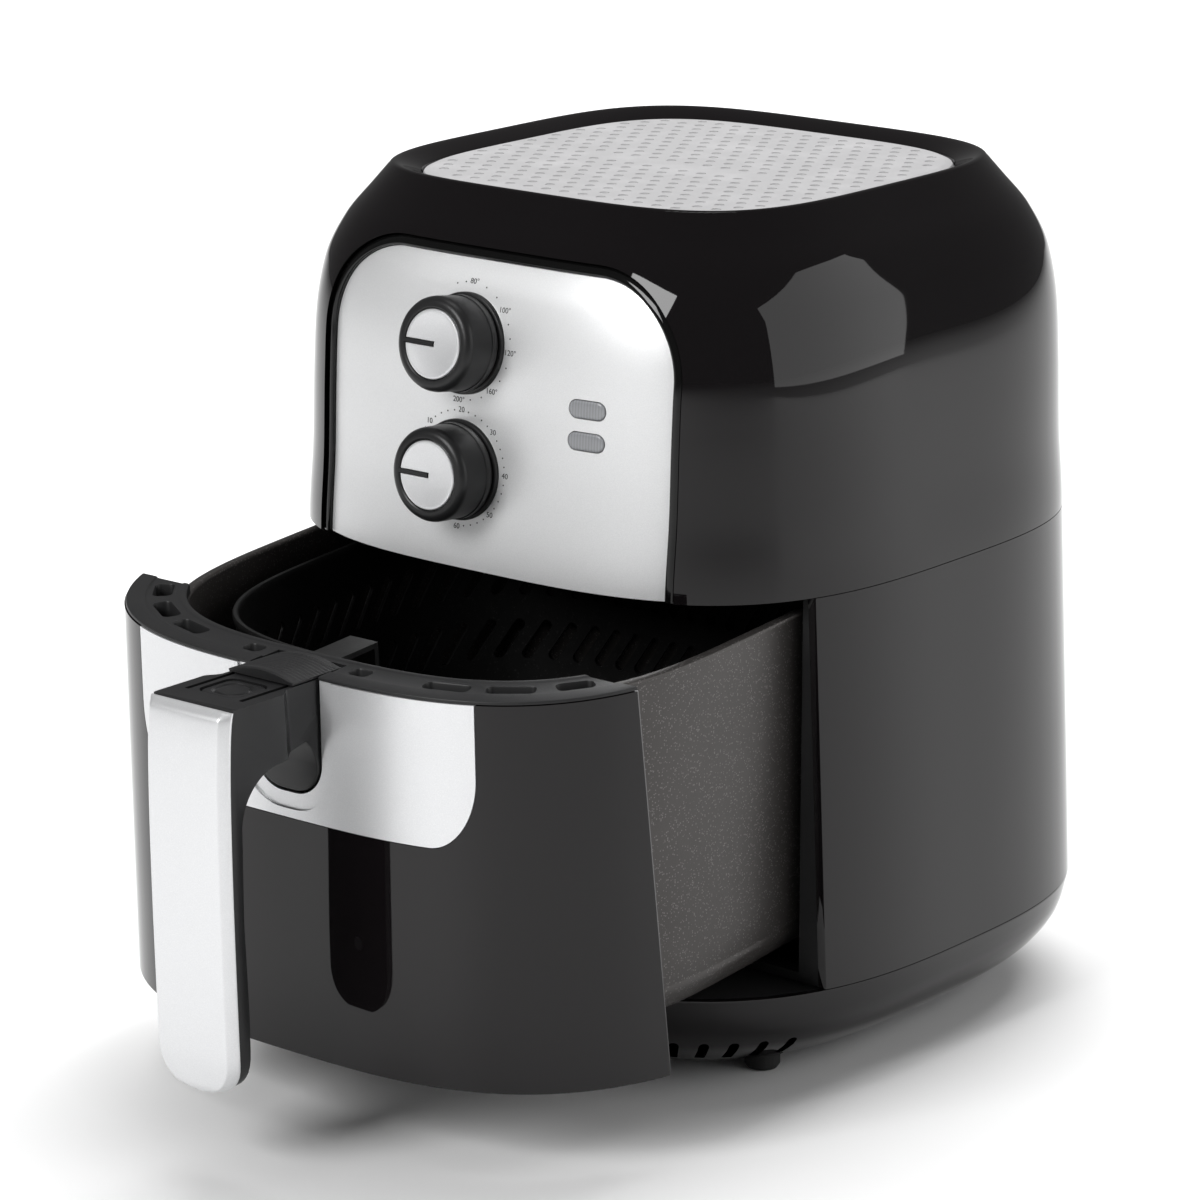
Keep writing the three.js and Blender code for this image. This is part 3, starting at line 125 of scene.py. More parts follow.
HANDLE_HALF = 19.0
HANDLE_TOP_Z = 184.2
HANDLE_BOTTOM_Z = 44.5
GRIP_BACK_Y = -174.7
COVER_DEPTH = 3.8
COVER_BEVEL = 3.2
FRONT_FACE_Y = -127.7
CORE_BACK_Y = -112.7
BUTTON_HALF = 9.0
BUTTON_START = 10.3
BUTTON_LENGTH = 18.0
GUARD_HALF = 15.0
GUARD_START = 32.9
GUARD_LENGTH = 25.0
GUARD_CROWN = 3.6
GROOVE_X = 12.6
HANDLE_SCREW_ZS = (70, 120)
DECK_Y = GRIP_BACK_Y - 1.4 + COVER_DEPTH + GAP

ORIGIN_Y = 71.62972  # the body stands this far behind the part's origin
DRAWER_TURN = math.radians(4.33)
SWING = (Matrix.Translation((0, -0.0447, -1.141)) @ Matrix.Rotation(DRAWER_TURN, 4, "X")
         @ Matrix.Translation((0, 0.0447, 1.141)))
DECK = Matrix.Translation((0, DECK_Y * MM, HANDLE_TOP_Z * MM)) @ Matrix.Rotation(-DRAWER_TURN, 4, "X")

CAMERA_PLACE = (1.0804, -1.3163, 0.6374)
CAMERA_AIM = (-0.0146, 0.0366, 0.1525)
CAMERA_LENS = 142.96


# ---- The body's form: superelliptic sections that change with height ----------------------------

def monotone(points, first=None, last=None):
    """A smooth curve through the points that doesn't overshoot them, as a function of arrays."""
    x, y = np.array(points, float).T
    step = np.diff(x)
    slope = np.diff(y) / step
    tangent = np.zeros(len(x))
    tangent[0] = slope[0] if first is None else first
    tangent[-1] = slope[-1] if last is None else last
    for i in range(1, len(x) - 1):
        if slope[i - 1] * slope[i] > 0:
            before = 2 * step[i] + step[i - 1]
            after = step[i] + 2 * step[i - 1]
            tangent[i] = (before + after) / (before / slope[i - 1] + after / slope[i])

    def at(q):
        q = np.asarray(q, float)
        i = np.clip(np.searchsorted(x, q) - 1, 0, len(step) - 1)
        t = (q - x[i]) / step[i]
        low = (1 + 2 * t) * (1 - t) ** 2 * y[i] + t * (1 - t) ** 2 * step[i] * tangent[i]
        high = t * t * (3 - 2 * t) * y[i + 1] + t * t * (t - 1) * step[i] * tangent[i + 1]
        return low + high

    return at


SIDE_SLOPE = (SHOULDER[0][1] - KEEL[-1][1]) / (SEAM_Z - BASE_SEAM_Z)
keel_curve = monotone(KEEL)
shoulder_curve = monotone(SHOULDER, first=SIDE_SLOPE)


def half_width(z):
    z = np.asarray(z, float)
    side = KEEL[-1][1] + SIDE_SLOPE * (z - BASE_SEAM_Z)
    return np.where(z < BASE_SEAM_Z, keel_curve(z), np.where(z < SEAM_Z, side, shoulder_curve(z)))


def squareness(z):
    z = np.asarray(z, float)
    up = np.clip((z - SEAM_Z) / (BODY_HEIGHT - SEAM_Z), 0, 1)
    low = 2.9 + 0.27 * np.clip(z - BASE_SEAM_Z, 0, None) / (SEAM_Z - BASE_SEAM_Z)
    return np.where(z > SEAM_Z, 3.17 + 0.74 * up, low)


def ring(half_x, half_y, n, z, angles=None, centre_y=0.0, count=240):
    if angles is None:
        angles = np.arange(count) * 2 * math.pi / count
    c, s = np.cos(angles), np.sin(angles)
    reach = (np.abs(c / half_x) ** n + np.abs(s / half_y) ** n) ** (-1 / n)
    return np.stack([reach * c, centre_y + reach * s, np.full(len(c), float(z))], 1)


def body_ring(z, inset=0.0, angles=None, count=240):
    half = float(half_width(z)) - inset
    return ring(half, half + DEPTH_EXTRA, float(squareness(z)), z, angles, count=count)


def plate_ring(z, grow, count=240):
    half = PLATE_HALF + grow
    return ring(half, half + DEPTH_EXTRA, PLATE_SQUARENESS, z, count=count)


def front_y(x, z, inset=0.0):
    """Where the body's front surface, drawn in by inset, is at x and z."""
    half = half_width(z) - inset
    n = squareness(z)
    return -(half + DEPTH_EXTRA) * (1 - np.clip(np.abs(x / half), 0, 1) ** n) ** (1 / n)


def radial(points, inset):
    """How far out each point is, as a share of the surface drawn in by inset."""
    x, y, z = points.T
    half = half_width(z) - inset
    n = squareness(z)
    return (np.abs(x / half) ** n + np.abs(y / (half + DEPTH_EXTRA)) ** n) ** (1 / n)


def surface_normals(points, inset):
    step = 0.05
    slopes = []
    for axis in range(3):
        shift = np.zeros(3)
        shift[axis] = step
        slopes.append(radial(points + shift, inset) - radial(points - shift, inset))
    normals = np.stack(slopes, 1)
    return normals / np.maximum(np.linalg.norm(normals, axis=1, keepdims=True), 1e-12)


# ---- Meshes -------------------------------------------------------------------------------------

def new_piece(name, points, faces):
    mesh = bpy.data.meshes.new(name)
    mesh.from_pydata((np.asarray(points, float) * MM).tolist(), [], faces)
    work = bmesh.new()
    work.from_mesh(mesh)
    bmesh.ops.remove_doubles(work, verts=work.verts, dist=1e-7)
    bmesh.ops.recalc_face_normals(work, faces=work.faces)
    work.to_mesh(mesh)
    work.free()
    piece = bpy.data.objects.new(name, mesh)
    bpy.context.scene.collection.objects.link(piece)
    return piece


def loft(name, rings, looped=False):
    """Rings of equal count, skinned, and either capped or joined end to end."""
    rings = np.asarray(rings, float)
    rows, count = rings.shape[:2]
    faces = []
    for row in range(rows if looped else rows - 1):
        a = row * count
        b = (row + 1) % rows * count
        faces += [(a + k, a + (k + 1) % count, b + (k + 1) % count, b + k) for k in range(count)]
    if not looped:
        faces.append(tuple(range(count))[::-1])
        faces.append(tuple(range((rows - 1) * count, rows * count)))
    return new_piece(name, rings.reshape(-1, 3), faces)


def moved(piece, matrix):
    piece.data.transform(matrix)
    return piece


def shift(x, y, z):
    """A move in millimetres."""
    return Matrix.Translation((x * MM, y * MM, z * MM))


def lathe(name, profile, place=None, segments=96):
    """A turned solid about Z from [radius, height] points, its ends flat."""
    turn = np.arange(segments) * 2 * math.pi / segments
    rings = [np.stack([r * np.cos(turn), r * np.sin(turn), np.full(segments, z)], 1) for r, z in profile]
    piece = loft(name, rings)
    return moved(piece, place) if place else piece


def block(name, x, y, z, place=None):
    corners = [(x[0], y[0]), (x[1], y[0]), (x[1], y[1]), (x[0], y[1])]
    piece = loft(name, [[(u, v, height) for u, v in corners] for height in z])
    return moved(piece, place) if place else piece


def prism(name, outline, low, high, axes="xy"):
    """An outline run along the third axis."""
    order = {"xy": (0, 1, 2), "xz": (0, 2, 1), "yz": (1, 2, 0)}[axes]
    rings = np.zeros((2, len(outline), 3))
    for row, end in enumerate((low, high)):
        rings[row][:, order[0]] = [u for u, v in outline]
        rings[row][:, order[1]] = [v for u, v in outline]
        rings[row][:, order[2]] = end
    return loft(name, rings)


def arc(u, v, radius, start, end, steps=14):
    turns = np.radians(np.linspace(start, end, steps + 1))
    return [(u + radius * math.cos(t), v + radius * math.sin(t)) for t in turns]


def mirrored(side):
    """Half an outline, then its mirror image back to the start."""
    return [*side, *[(-u, v) for u, v in reversed(side)]]


def through(name, outline):
    """An outline run through the whole front wall, as a tool."""
    return prism(name, outline, -300, -60, "xz")


def u_outline(half, bottom, top, radius):
    return [*arc(half - radius, bottom + radius, radius, -90, 0), (half, top), (-half, top),
            *arc(-half + radius, bottom + radius, radius, 180, 270)]


def rounded_box(half_u, half_v, radius, steps=8):
    corners = [(1, 1, 0), (-1, 1, 90), (-1, -1, 180), (1, -1, 270)]
    points = []
    for su, sv, start in corners:
        points += arc(su * (half_u - radius), sv * (half_v - radius), radius, start, start + 90, steps)
    return points


def patch(name, x, z, front, back, columns=80, rows=60):
    """A slab that follows the body's front between two insets."""
    across = np.linspace(*x, columns)
    up = np.linspace(*z, rows)
    grid_x, grid_z = np.meshgrid(across, up)
    sheets = [np.stack([grid_x, front_y(grid_x, grid_z, inset), grid_z], 2).reshape(-1, 3)
              for inset in (front, back)]
    size = rows * columns
    faces = []
    for r in range(rows - 1):
        for c in range(columns - 1):
            a = r * columns + c
            quad = (a, a + 1, a + columns + 1, a + columns)
            faces.append(quad)
            faces.append(tuple(k + size for k in reversed(quad)))
    edge = list(range(columns))
    edge += [r * columns + columns - 1 for r in range(1, rows)]
    edge += [(rows - 1) * columns + c for c in range(columns - 2, -1, -1)]
    edge += [r * columns for r in range(rows - 2, 0, -1)]
    for i, a in enumerate(edge):
        b = edge[(i + 1) % len(edge)]
        faces.append((b, a, a + size, b + size))
    return new_piece(name, np.concatenate(sheets), faces)


def bake(piece):
    """The modifiers become plain mesh."""
    shown = piece.evaluated_get(bpy.context.evaluated_depsgraph_get())
    mesh = bpy.data.meshes.new_from_object(shown)
    piece.modifiers.clear()
    piece.data = mesh
    return piece


def combine(piece, operation, *tools):
    for tool in tools:
        modifier = piece.modifiers.new(operation.title(), "BOOLEAN")
        modifier.operation = operation
        modifier.solver = "MANIFOLD"
        modifier.object = tool
    bake(piece)
    if len(piece.data.polygons) == 0:
        raise RuntimeError(f"{piece.name}: {operation.lower()} left nothing")
    for tool in tools:
        bpy.data.objects.remove(tool)
    return piece


def cut(piece, *tools):
    return combine(piece, "DIFFERENCE", *tools)


def keep(piece, *tools):
    return combine(piece, "INTERSECT", *tools)


def join(piece, *tools):
    return combine(piece, "UNION", *tools)


def polish(piece, insets=(0.0,), angle=35):
    """Smooth shading, with exact normals where the mesh lies on the body's form."""
    mesh = piece.data
    mesh.shade_smooth()
    mesh.set_sharp_from_angle(angle=math.radians(angle))
    count = len(mesh.loops)
    normals = np.zeros(count * 3)
    mesh.corner_normals.foreach_get("vector", normals)
    normals = normals.reshape(-1, 3)
    points = np.zeros(len(mesh.vertices) * 3)
    mesh.vertices.foreach_get("co", points)
    points = points.reshape(-1, 3) / MM
    corner = np.zeros(count, int)
    mesh.loops.foreach_get("vertex_index", corner)
    sides = np.zeros(len(mesh.polygons), int)
    mesh.polygons.foreach_get("loop_total", sides)
    flat = np.zeros(len(mesh.polygons) * 3)
    mesh.polygons.foreach_get("normal", flat)
    flat = np.repeat(flat.reshape(-1, 3), sides, axis=0)
    for inset in insets:
        off = np.abs(radial(points, inset) - 1) * 120
        exact = surface_normals(points, inset)[corner]
        facing = (exact * flat).sum(1)
        on = (off[corner] < 0.12) & (np.abs(facing) > 0.9)
        normals[on] = exact[on] * np.sign(facing[on])[:, None]
    mesh.normals_split_custom_set(normals.tolist())
    return piece


def smooth(piece, angle=35):
    piece.data.shade_smooth()
    piece.data.set_sharp_from_angle(angle=math.radians(angle))
    return piece


def rounded(piece, width, segments=2, angle=40):
    modifier = piece.modifiers.new("Round", "BEVEL")
    modifier.width = width * MM
    modifier.segments = segments
    modifier.limit_method = "ANGLE"
    modifier.angle_limit = math.radians(angle)
    modifier.use_clamp_overlap = True
    return bake(piece)


# ---- Repeats with Geometry Nodes ----------------------------------------------------------------

def repeat_tree(cutting):
    """A node group that puts a tool at each place, and cuts it from the mesh or hands it on."""
    tree = bpy.data.node_groups.new("Perforate" if cutting else "Scatter", "GeometryNodeTree")
    kinds = {"Geometry": "Geometry", "Places": "Object", "Tool": "Object", "Finish": "Material"}
    for name, kind in kinds.items():
        tree.interface.new_socket(name, in_out="INPUT", socket_type="NodeSocket" + kind)
    tree.interface.new_socket("Geometry", in_out="OUTPUT", socket_type="NodeSocketGeometry")
    make, link = tree.nodes.new, tree.links.new
    given, result = make("NodeGroupInput"), make("NodeGroupOutput")
    places, tool = make("GeometryNodeObjectInfo"), make("GeometryNodeObjectInfo")
    turn = make("GeometryNodeInputNamedAttribute")
    turn.data_type = "FLOAT_VECTOR"
    turn.inputs["Name"].default_value = "turn"
    copies = make("GeometryNodeInstanceOnPoints")
    solid = make("GeometryNodeRealizeInstances")
    finish = make("GeometryNodeSetMaterial")
    link(given.outputs["Places"], places.inputs["Object"])
    link(given.outputs["Tool"], tool.inputs["Object"])
    link(places.outputs["Geometry"], copies.inputs["Points"])
    link(tool.outputs["Geometry"], copies.inputs["Instance"])
    link(turn.outputs["Attribute"], copies.inputs["Rotation"])
    link(copies.outputs["Instances"], solid.inputs["Geometry"])
    last = solid.outputs["Geometry"]
    if cutting:
        carve = make("GeometryNodeMeshBoolean")
        carve.operation = "DIFFERENCE"
        carve.solver = "MANIFOLD"
        link(given.outputs["Geometry"], carve.inputs["Mesh 1"])
        link(last, carve.inputs["Mesh 2"])
        last = carve.outputs["Mesh"]
    link(last, finish.inputs["Geometry"])
    link(given.outputs["Finish"], finish.inputs["Material"])
    link(finish.outputs["Geometry"], result.inputs["Geometry"])
    return tree


def repeat(piece, tool, places, finish, cutting=True):
    """places holds (position in mm, Euler turn) for each copy of the tool."""
    seeds = bpy.data.meshes.new("places")
    seeds.from_pydata([tuple(c * MM for c in at) for at, turn in places], [], [])
    turns = seeds.attributes.new("turn", "FLOAT_VECTOR", "POINT")
    turns.data.foreach_set("vector", [angle for at, turn in places for angle in turn])
    holder = bpy.data.objects.new("places", seeds)
    bpy.context.scene.collection.objects.link(holder)
    name = "Perforate" if cutting else "Scatter"
    tree = bpy.data.node_groups.get(name) or repeat_tree(cutting)
    modifier = piece.modifiers.new(name, "NODES")
    modifier.node_group = tree
    values = {"Places": holder, "Tool": tool, "Finish": finish}
    for item in tree.interface.items_tree:
        if item.in_out == "INPUT" and item.name in values:
            modifier[item.identifier] = values[item.name]
    piece.update_tag()
    bake(piece)
    bpy.data.objects.remove(holder)
    bpy.data.objects.remove(tool)
    return piece


# ---- Finishes -----------------------------------------------------------------------------------

class Maths:
    """A shader value: each operator adds a Math node."""

    def __init__(self, shader, socket):
        self.shader = shader
        self.socket = socket

    def apply(self, operation, *values, clamp=False):
        node = self.shader.node("ShaderNodeMath", {"operation": operation, "use_clamp": clamp})
        for slot, value in zip(node.inputs, values):
            self.shader.feed(slot, value)
        return Maths(self.shader, node.outputs[0])

    def __add__(self, other):
        return self.apply("ADD", self, other)

    __radd__ = __add__

    def __mul__(self, other):
        return self.apply("MULTIPLY", self, other)

    __rmul__ = __mul__

    def __sub__(self, other):
        return self.apply("SUBTRACT", self, other)

    def __rsub__(self, other):
        return self.apply("SUBTRACT", other, self)

    def __gt__(self, other):
        return self.apply("GREATER_THAN", self, other)

    def __lt__(self, other):
        return self.apply("LESS_THAN", self, other)

    def share(self, low, high):
        """0 at low, 1 at high, clamped."""
        return self.apply("MULTIPLY", self - low, 1.0 / (high - low), clamp=True)


class Shader:
    """One Principled finish, its varying inputs built up from nodes."""

    def __init__(self, name, color, roughness, metallic=0.0, ior=1.5):
        self.material = bpy.data.materials.new("fine_" + name)
        self.material.use_nodes = True
        self.material.diffuse_color = (*color, 1)
        self.tree = self.material.node_tree
        self.bsdf = next(n for n in self.tree.nodes if n.type == "BSDF_PRINCIPLED")
        self.color = color
        self.bsdf.inputs["Base Color"].default_value = (*color, 1)
        self.bsdf.inputs["Roughness"].default_value = roughness
        self.bsdf.inputs["Metallic"].default_value = metallic
        self.bsdf.inputs["IOR"].default_value = ior
        self.place = self.node("ShaderNodeTexCoord").outputs["Object"]

    def node(self, kind, settings=None, **inputs):
        node = self.tree.nodes.new(kind)
        for name, value in (settings or {}).items():
            setattr(node, name, value)
        for name, value in inputs.items():
            self.feed(node.inputs[name.replace("_", " ")], value)
        return node

    def feed(self, slot, value):
        if isinstance(value, Maths):
            self.tree.links.new(value.socket, slot)
        elif isinstance(value, bpy.types.NodeSocket):
            self.tree.links.new(value, slot)
        else:
            slot.default_value = value

    def stretched(self, along):
        node = self.node("ShaderNodeVectorMath", {"operation": "MULTIPLY"})
        self.feed(node.inputs[0], self.place)
        self.feed(node.inputs[1], along)
        return node.outputs[0]

    def noise(self, scale, detail=3.0, along=(1.0, 1.0, 1.0)):
        place = self.stretched(along)
        node = self.node("ShaderNodeTexNoise", Vector=place, Scale=scale, Detail=detail)
        return Maths(self, node.outputs[0])

    def cells(self, scale):
        node = self.node("ShaderNodeTexVoronoi", Vector=self.place, Scale=scale)
        return Maths(self, node.outputs["Distance"]), node.outputs["Color"]

    def tint(self, share, other):
        """Base colour goes from its own to other as share goes to 1."""
        mix = self.node("ShaderNodeMix", {"data_type": "RGBA"})
        self.feed(mix.inputs[0], share)
        linked = self.bsdf.inputs["Base Color"].links
        self.feed(mix.inputs[6], linked[0].from_socket if linked else (*self.color, 1))
        self.feed(mix.inputs[7], (*other, 1))
        self.feed(self.bsdf.inputs["Base Color"], mix.outputs[2])
        return self

    def rough(self, value):
        self.feed(self.bsdf.inputs["Roughness"], value)
        return self

    def bump(self, height, strength=0.3, distance=0.0001):
        node = self.node("ShaderNodeBump", Height=height, Strength=strength, Distance=distance)
        self.feed(self.bsdf.inputs["Normal"], node.outputs[0])
        return self


def gloss(name, color, roughness, wave=0.03):
    """Moulded high gloss plastic: faint orange peel, a little dust and handling in the sheen."""
    s = Shader(name, color, roughness, ior=1.38)
    haze = s.noise(14.0, 4.0)
    s.rough(haze.share(0.35, 0.75) * 0.02 + roughness)
    s.tint(s.noise(900.0, 2.0).share(0.66, 0.8) * 0.35, tuple(c * 1.8 for c in color))
    s.bump(s.noise(26.0, 1.0) + s.noise(420.0, 2.0) * 0.01, wave, 0.0003)
    return s.material


def textured(name, color, roughness, grain=2600.0, strength=0.35):
    """Moulded satin or matte plastic with a spark-eroded grain."""
    s = Shader(name, color, roughness, ior=1.36)
    fine = s.noise(grain, 3.0)
    s.rough(s.noise(22.0, 3.0).share(0.3, 0.7) * 0.08 + (roughness - 0.04))
    s.tint(s.noise(60.0, 4.0).share(0.45, 0.8) * 0.4, tuple(min(c * 1.35, 1) for c in color))
    s.bump(fine, strength, 0.00012)
    return s.material


def silver(name, color, roughness, metallic):
    """Silver paint: a fine flake whose grains catch the light one by one."""
    s = Shader(name, color, roughness, metallic)
    shade = s.cells(5200.0)[1]
    flake = s.node("ShaderNodeSeparateColor", Color=shade)
    grain = Maths(s, flake.outputs[0])
    s.rough(grain * 0.16 + (roughness - 0.08))
    s.tint(grain * 0.22, tuple(c * 0.7 for c in color))
    # painted glint: the brightest flake grains are tinted near white
    s.tint((grain > 0.95) * 0.25, (1.0, 1.0, 0.99))
    s.bump(s.noise(2400.0, 2.0) + grain * 0.5, 0.22, 0.00006)
    return s.material


def coating(name, color, speck, roughness, metallic, density):
    """Baked non-stick coating with a metallic speckle."""
    s = Shader(name, color, roughness, metallic)
    near, shade = s.cells(1500.0)
    pick = Maths(s, s.node("ShaderNodeSeparateColor", Color=shade).outputs[1])
    dot = (pick > 1 - density) * (near < 0.42)
    s.tint(s.noise(35.0, 4.0).share(0.35, 0.7) * 0.3, tuple(c * 0.7 for c in color))
    s.tint(dot * 0.5, speck)
    s.rough(s.noise(180.0, 3.0) * 0.16 + (roughness - 0.08))
    s.bump(s.noise(1400.0, 3.0) + dot * 0.3, 0.35, 0.0001)
    return s.material


def steel(name, color, roughness, along=(1.0, 1.0, 30.0)):
    """Rolled or drawn steel with a fine run of scratches."""
    s = Shader(name, color, roughness, 1.0)
    run = s.noise(90.0, 5.0, along)
    s.rough(run * 0.2 + (roughness - 0.1))
    s.tint(s.noise(18.0, 4.0).share(0.4, 0.75) * 0.4, tuple(c * 0.6 for c in color))
    s.bump(run, 0.12, 0.00005)
    return s.material


def lens(name):
    """A smoked lamp window over a pale reflector: fine vertical flutes show through."""
    s = Shader(name, (0.22, 0.225, 0.235), 0.22)
    wave = s.node("ShaderNodeTexWave", {"bands_direction": "X"}, Vector=s.place, Scale=260.0)
    flute = Maths(s, wave.outputs[1])
    s.tint(flute * 0.3, (0.4, 0.41, 0.43))
    s.rough(s.noise(300.0) * 0.1 + 0.16)
    s.bump(flute, 0.15, 0.0001)
    return s.material


def chosen(name):
    """A colour from the sidebar."""
    return tuple(getattr(bpy.context.scene.fryer, name))


FINISHES = {
    "gloss_black": lambda name: gloss(name, chosen("shell_color"), 0.02),
    "gloss_bezel": lambda name: gloss(name, (0.003, 0.003, 0.003), 0.05),
    "satin_black": lambda name: textured(name, (0.012, 0.012, 0.0125), 0.34, 2200.0, 0.2),
    "matte_black": lambda name: textured(name, (0.016, 0.016, 0.0165), 0.42, 1800.0, 0.4),
    "dark_inside": lambda name: textured(name, (0.012, 0.012, 0.0125), 0.6),
    "silver_panel": lambda name: silver(name, chosen("panel_color"), 0.42, 0.6),
    "silver_trim": lambda name: silver(name, chosen("trim_color"), 0.36, 0.6),
    "light_grey": lambda name: textured(name, chosen("plate_color"), 0.55, 1600.0, 0.2),
    "lens_grey": lens,
    "pan_coating": lambda name: coating(name, (0.05, 0.046, 0.044), (0.2, 0.19, 0.185), 0.4, 0.5, 0.22),
    "basket_coating": lambda name: coating(name, (0.009,) * 3, (0.05,) * 3, 0.36, 0.1, 0.08),
    "bare_steel": lambda name: steel(name, (0.55, 0.55, 0.56), 0.36),
    "heater_steel": lambda name: steel(name, (0.16, 0.14, 0.13), 0.5, (1, 1, 1)),
    "rubber_foot": lambda name: textured(name, (0.015, 0.015, 0.015), 0.75, 1200.0, 0.5),
    "bell_brass": lambda name: steel(name, (0.62, 0.45, 0.2), 0.3),
    "print_black": lambda name: textured(name, (0.02, 0.02, 0.02), 0.5, 3000.0, 0.1),
}
made = {}


def finish_of(name):
    if name not in made:
        made[name] = FINISHES[name](name)
    return made[name]


def settle(piece, body, slot_name, *nodes, swung=False, finish=None):
    """The piece takes its finish, its place on a body and the nodes it stands for."""
    if swung:
        moved(piece, SWING)
    moved(piece, Matrix.Translation((0, ORIGIN_Y * MM, 0)))
    piece.data.materials.clear()
    piece.data.materials.append(finish_of(finish or slot_name))
    piece.data.polygons.foreach_set("material_index", [0] * len(piece.data.polygons))
    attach(piece, body)
    if nodes:
        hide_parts(*nodes)
    return piece


# ---- Housing ------------------------------------------------------------------------------------

def panel_outline(grow, bottom):
    half, radius, top = PANEL_HALF + grow, PANEL_CORNER + grow, PANEL_TOP_Z + grow
    return [(half, bottom), *arc(half - radius, top - radius, radius, 0, 90, 24),
            *arc(-half + radius, top - radius, radius, 90, 180, 24), (-half, bottom)]


def build_upper_housing():
    heights = [*np.linspace(PANEL_BOTTOM_Z, 280, 22), *np.linspace(283, 318.8, 18)]
    outside = [body_ring(z) for z in heights]
    crest = [plate_ring(z, grow) for z, grow in (
        (319.5, 10.2), (319.9, 9.4), (319.95, 8.6), (319.6, 7.4), (318.8, 5.6), (317.2, 2.2), (316.2, 0.6),
        (315.4, 0.3), (PLATE_FLOOR_Z, 0.3), (PLATE_FLOOR_Z, -14), (PLATE_FLOOR_Z - WALL, -14))]
    inside = [body_ring(z, WALL) for z in (309.7, 305, 300, 290, 280, 260, 230, PANEL_BOTTOM_Z)]
    piece = loft("upper_housing_shell", outside + crest + inside, looped=True)
    vent_outline = [(u, v + REAR_VENT_Z) for u, v in rounded_box(34, 24, 6)]
    cut(piece, through("window", panel_outline(BEZEL_WIDTH, 170)),
        prism("vent", vent_outline, 60, 300, "xz"))
    settle(polish(piece), "body", "gloss_black", "upper_housing")


def wall_piece(name, heights, limit_y, thickness, behind, edge=0.5, count=170):
    """A wall of the body's form behind or in front of a plane, its edges eased."""
    rings = []
    for z in heights:
        outer_half = float(half_width(z))
        n = float(squareness(z))
        spans = []
        for inset in (0.0, thickness):
            half = outer_half - inset
            x = half * (1 - (abs(limit_y) / (half + DEPTH_EXTRA)) ** n) ** (1 / n)
            spans.append(math.atan2(limit_y, x))
        ease = edge / outer_half
        if behind:
            outer = np.linspace(spans[0] + ease, math.pi - spans[0] - ease, count)
            inner = np.linspace(math.pi - spans[1], spans[1], count)
        else:
            outer = np.linspace(-math.pi - spans[0] + ease, spans[0] - ease, count)
            inner = np.linspace(spans[1], -math.pi - spans[1], count)
        rings.append(np.concatenate([
            body_ring(z, 0.0, outer), body_ring(z, edge, [outer[-1] + ease]),
            body_ring(z, thickness, inner), body_ring(z, edge, [outer[0] - ease])]))
    return loft(name, rings)


def build_lower_housing():
    heights = np.linspace(BASE_SEAM_Z + GAP, SEAM_Z, 24)
    piece = wall_piece("lower_housing_wall", heights, OPENING_Y, WALL, True)
    x, z = GLAND_SPOT
    place = shift(x, 0, z) @ Matrix.Rotation(-math.pi / 2, 4, "X")
    cut(piece, lathe("gland", [(GLAND_RADIUS, 60), (GLAND_RADIUS, 160)], place, 32))
    settle(polish(piece), "body", "gloss_black", "lower_housing")


def base_slot_places():
    """Round the front of the foot, each slot square to the wall."""
    half = float(half_width(BASE_SLOT_Z)) - 4
    places = []
    for degrees in np.arange(-BASE_SLOT_SPREAD, BASE_SLOT_SPREAD + 1, BASE_SLOT_STEP):
        turn = math.radians(degrees)
        at = ring(half, half + DEPTH_EXTRA, 2.9, BASE_SLOT_Z, [turn - math.pi / 2])[0]
        places.append((tuple(at), (0.0, 0.18 * math.sin(turn), turn)))
    return places


def build_base():
    floor = BASE_BOTTOM_Z + WALL
    outer = [ring(101, 102.9, 2.9, BASE_BOTTOM_Z)]
    outer += [body_ring(z) for z in (6.15, 6.9, 8.2, 10, 12.5, 15.5, 19, 23, 27, 31, 35, 38.6)]
    outer += [body_ring(39.25, 0.25), body_ring(BASE_SEAM_Z, 0.8)]
    inner = [body_ring(z, WALL) for z in (BASE_SEAM_Z, 35, 28, 20, 14, 10, floor)]
    piece = loft("base_tray", outer + inner)
    bosses = [lathe("boss", [(FOOT_BOSS, BASE_BOTTOM_Z + 1), (FOOT_BOSS, floor + 5)], shift(x, y, 0), 32)
              for x, y in FOOT_SPOTS]
    join(piece, *bosses)
    sockets = [lathe("socket", [(FOOT_SOCKET, 3), (FOOT_SOCKET, floor + 3)], shift(x, y, 0), 32)
               for x, y in FOOT_SPOTS]
    recesses = [lathe("recess", [(SCREW_RECESS, 3), (SCREW_RECESS, floor - 1)], shift(x, y, 0), 24)
                for x, y in SCREW_SPOTS]
    cut(piece, *sockets, *recesses)
    half = BASE_SLOT_HALF
    outline = [(half, -4.5), *arc(0, 4.8, half, 0, 180, 8), (-half, -4.5)]
    repeat(piece, prism("slot", outline, -16, 16, "xz"), base_slot_places(), finish_of("gloss_black"))
    spots = [((x, 0, 7), (0, 0, 0)) for x in (-40, -20, 0, 20, 40)]
    floor_slot = prism("floor_slot", rounded_box(2, 30, 1.9), -3, 4)
    repeat(piece, floor_slot, spots, finish_of("gloss_black"))
    settle(polish(piece), "body", "gloss_black", "base")


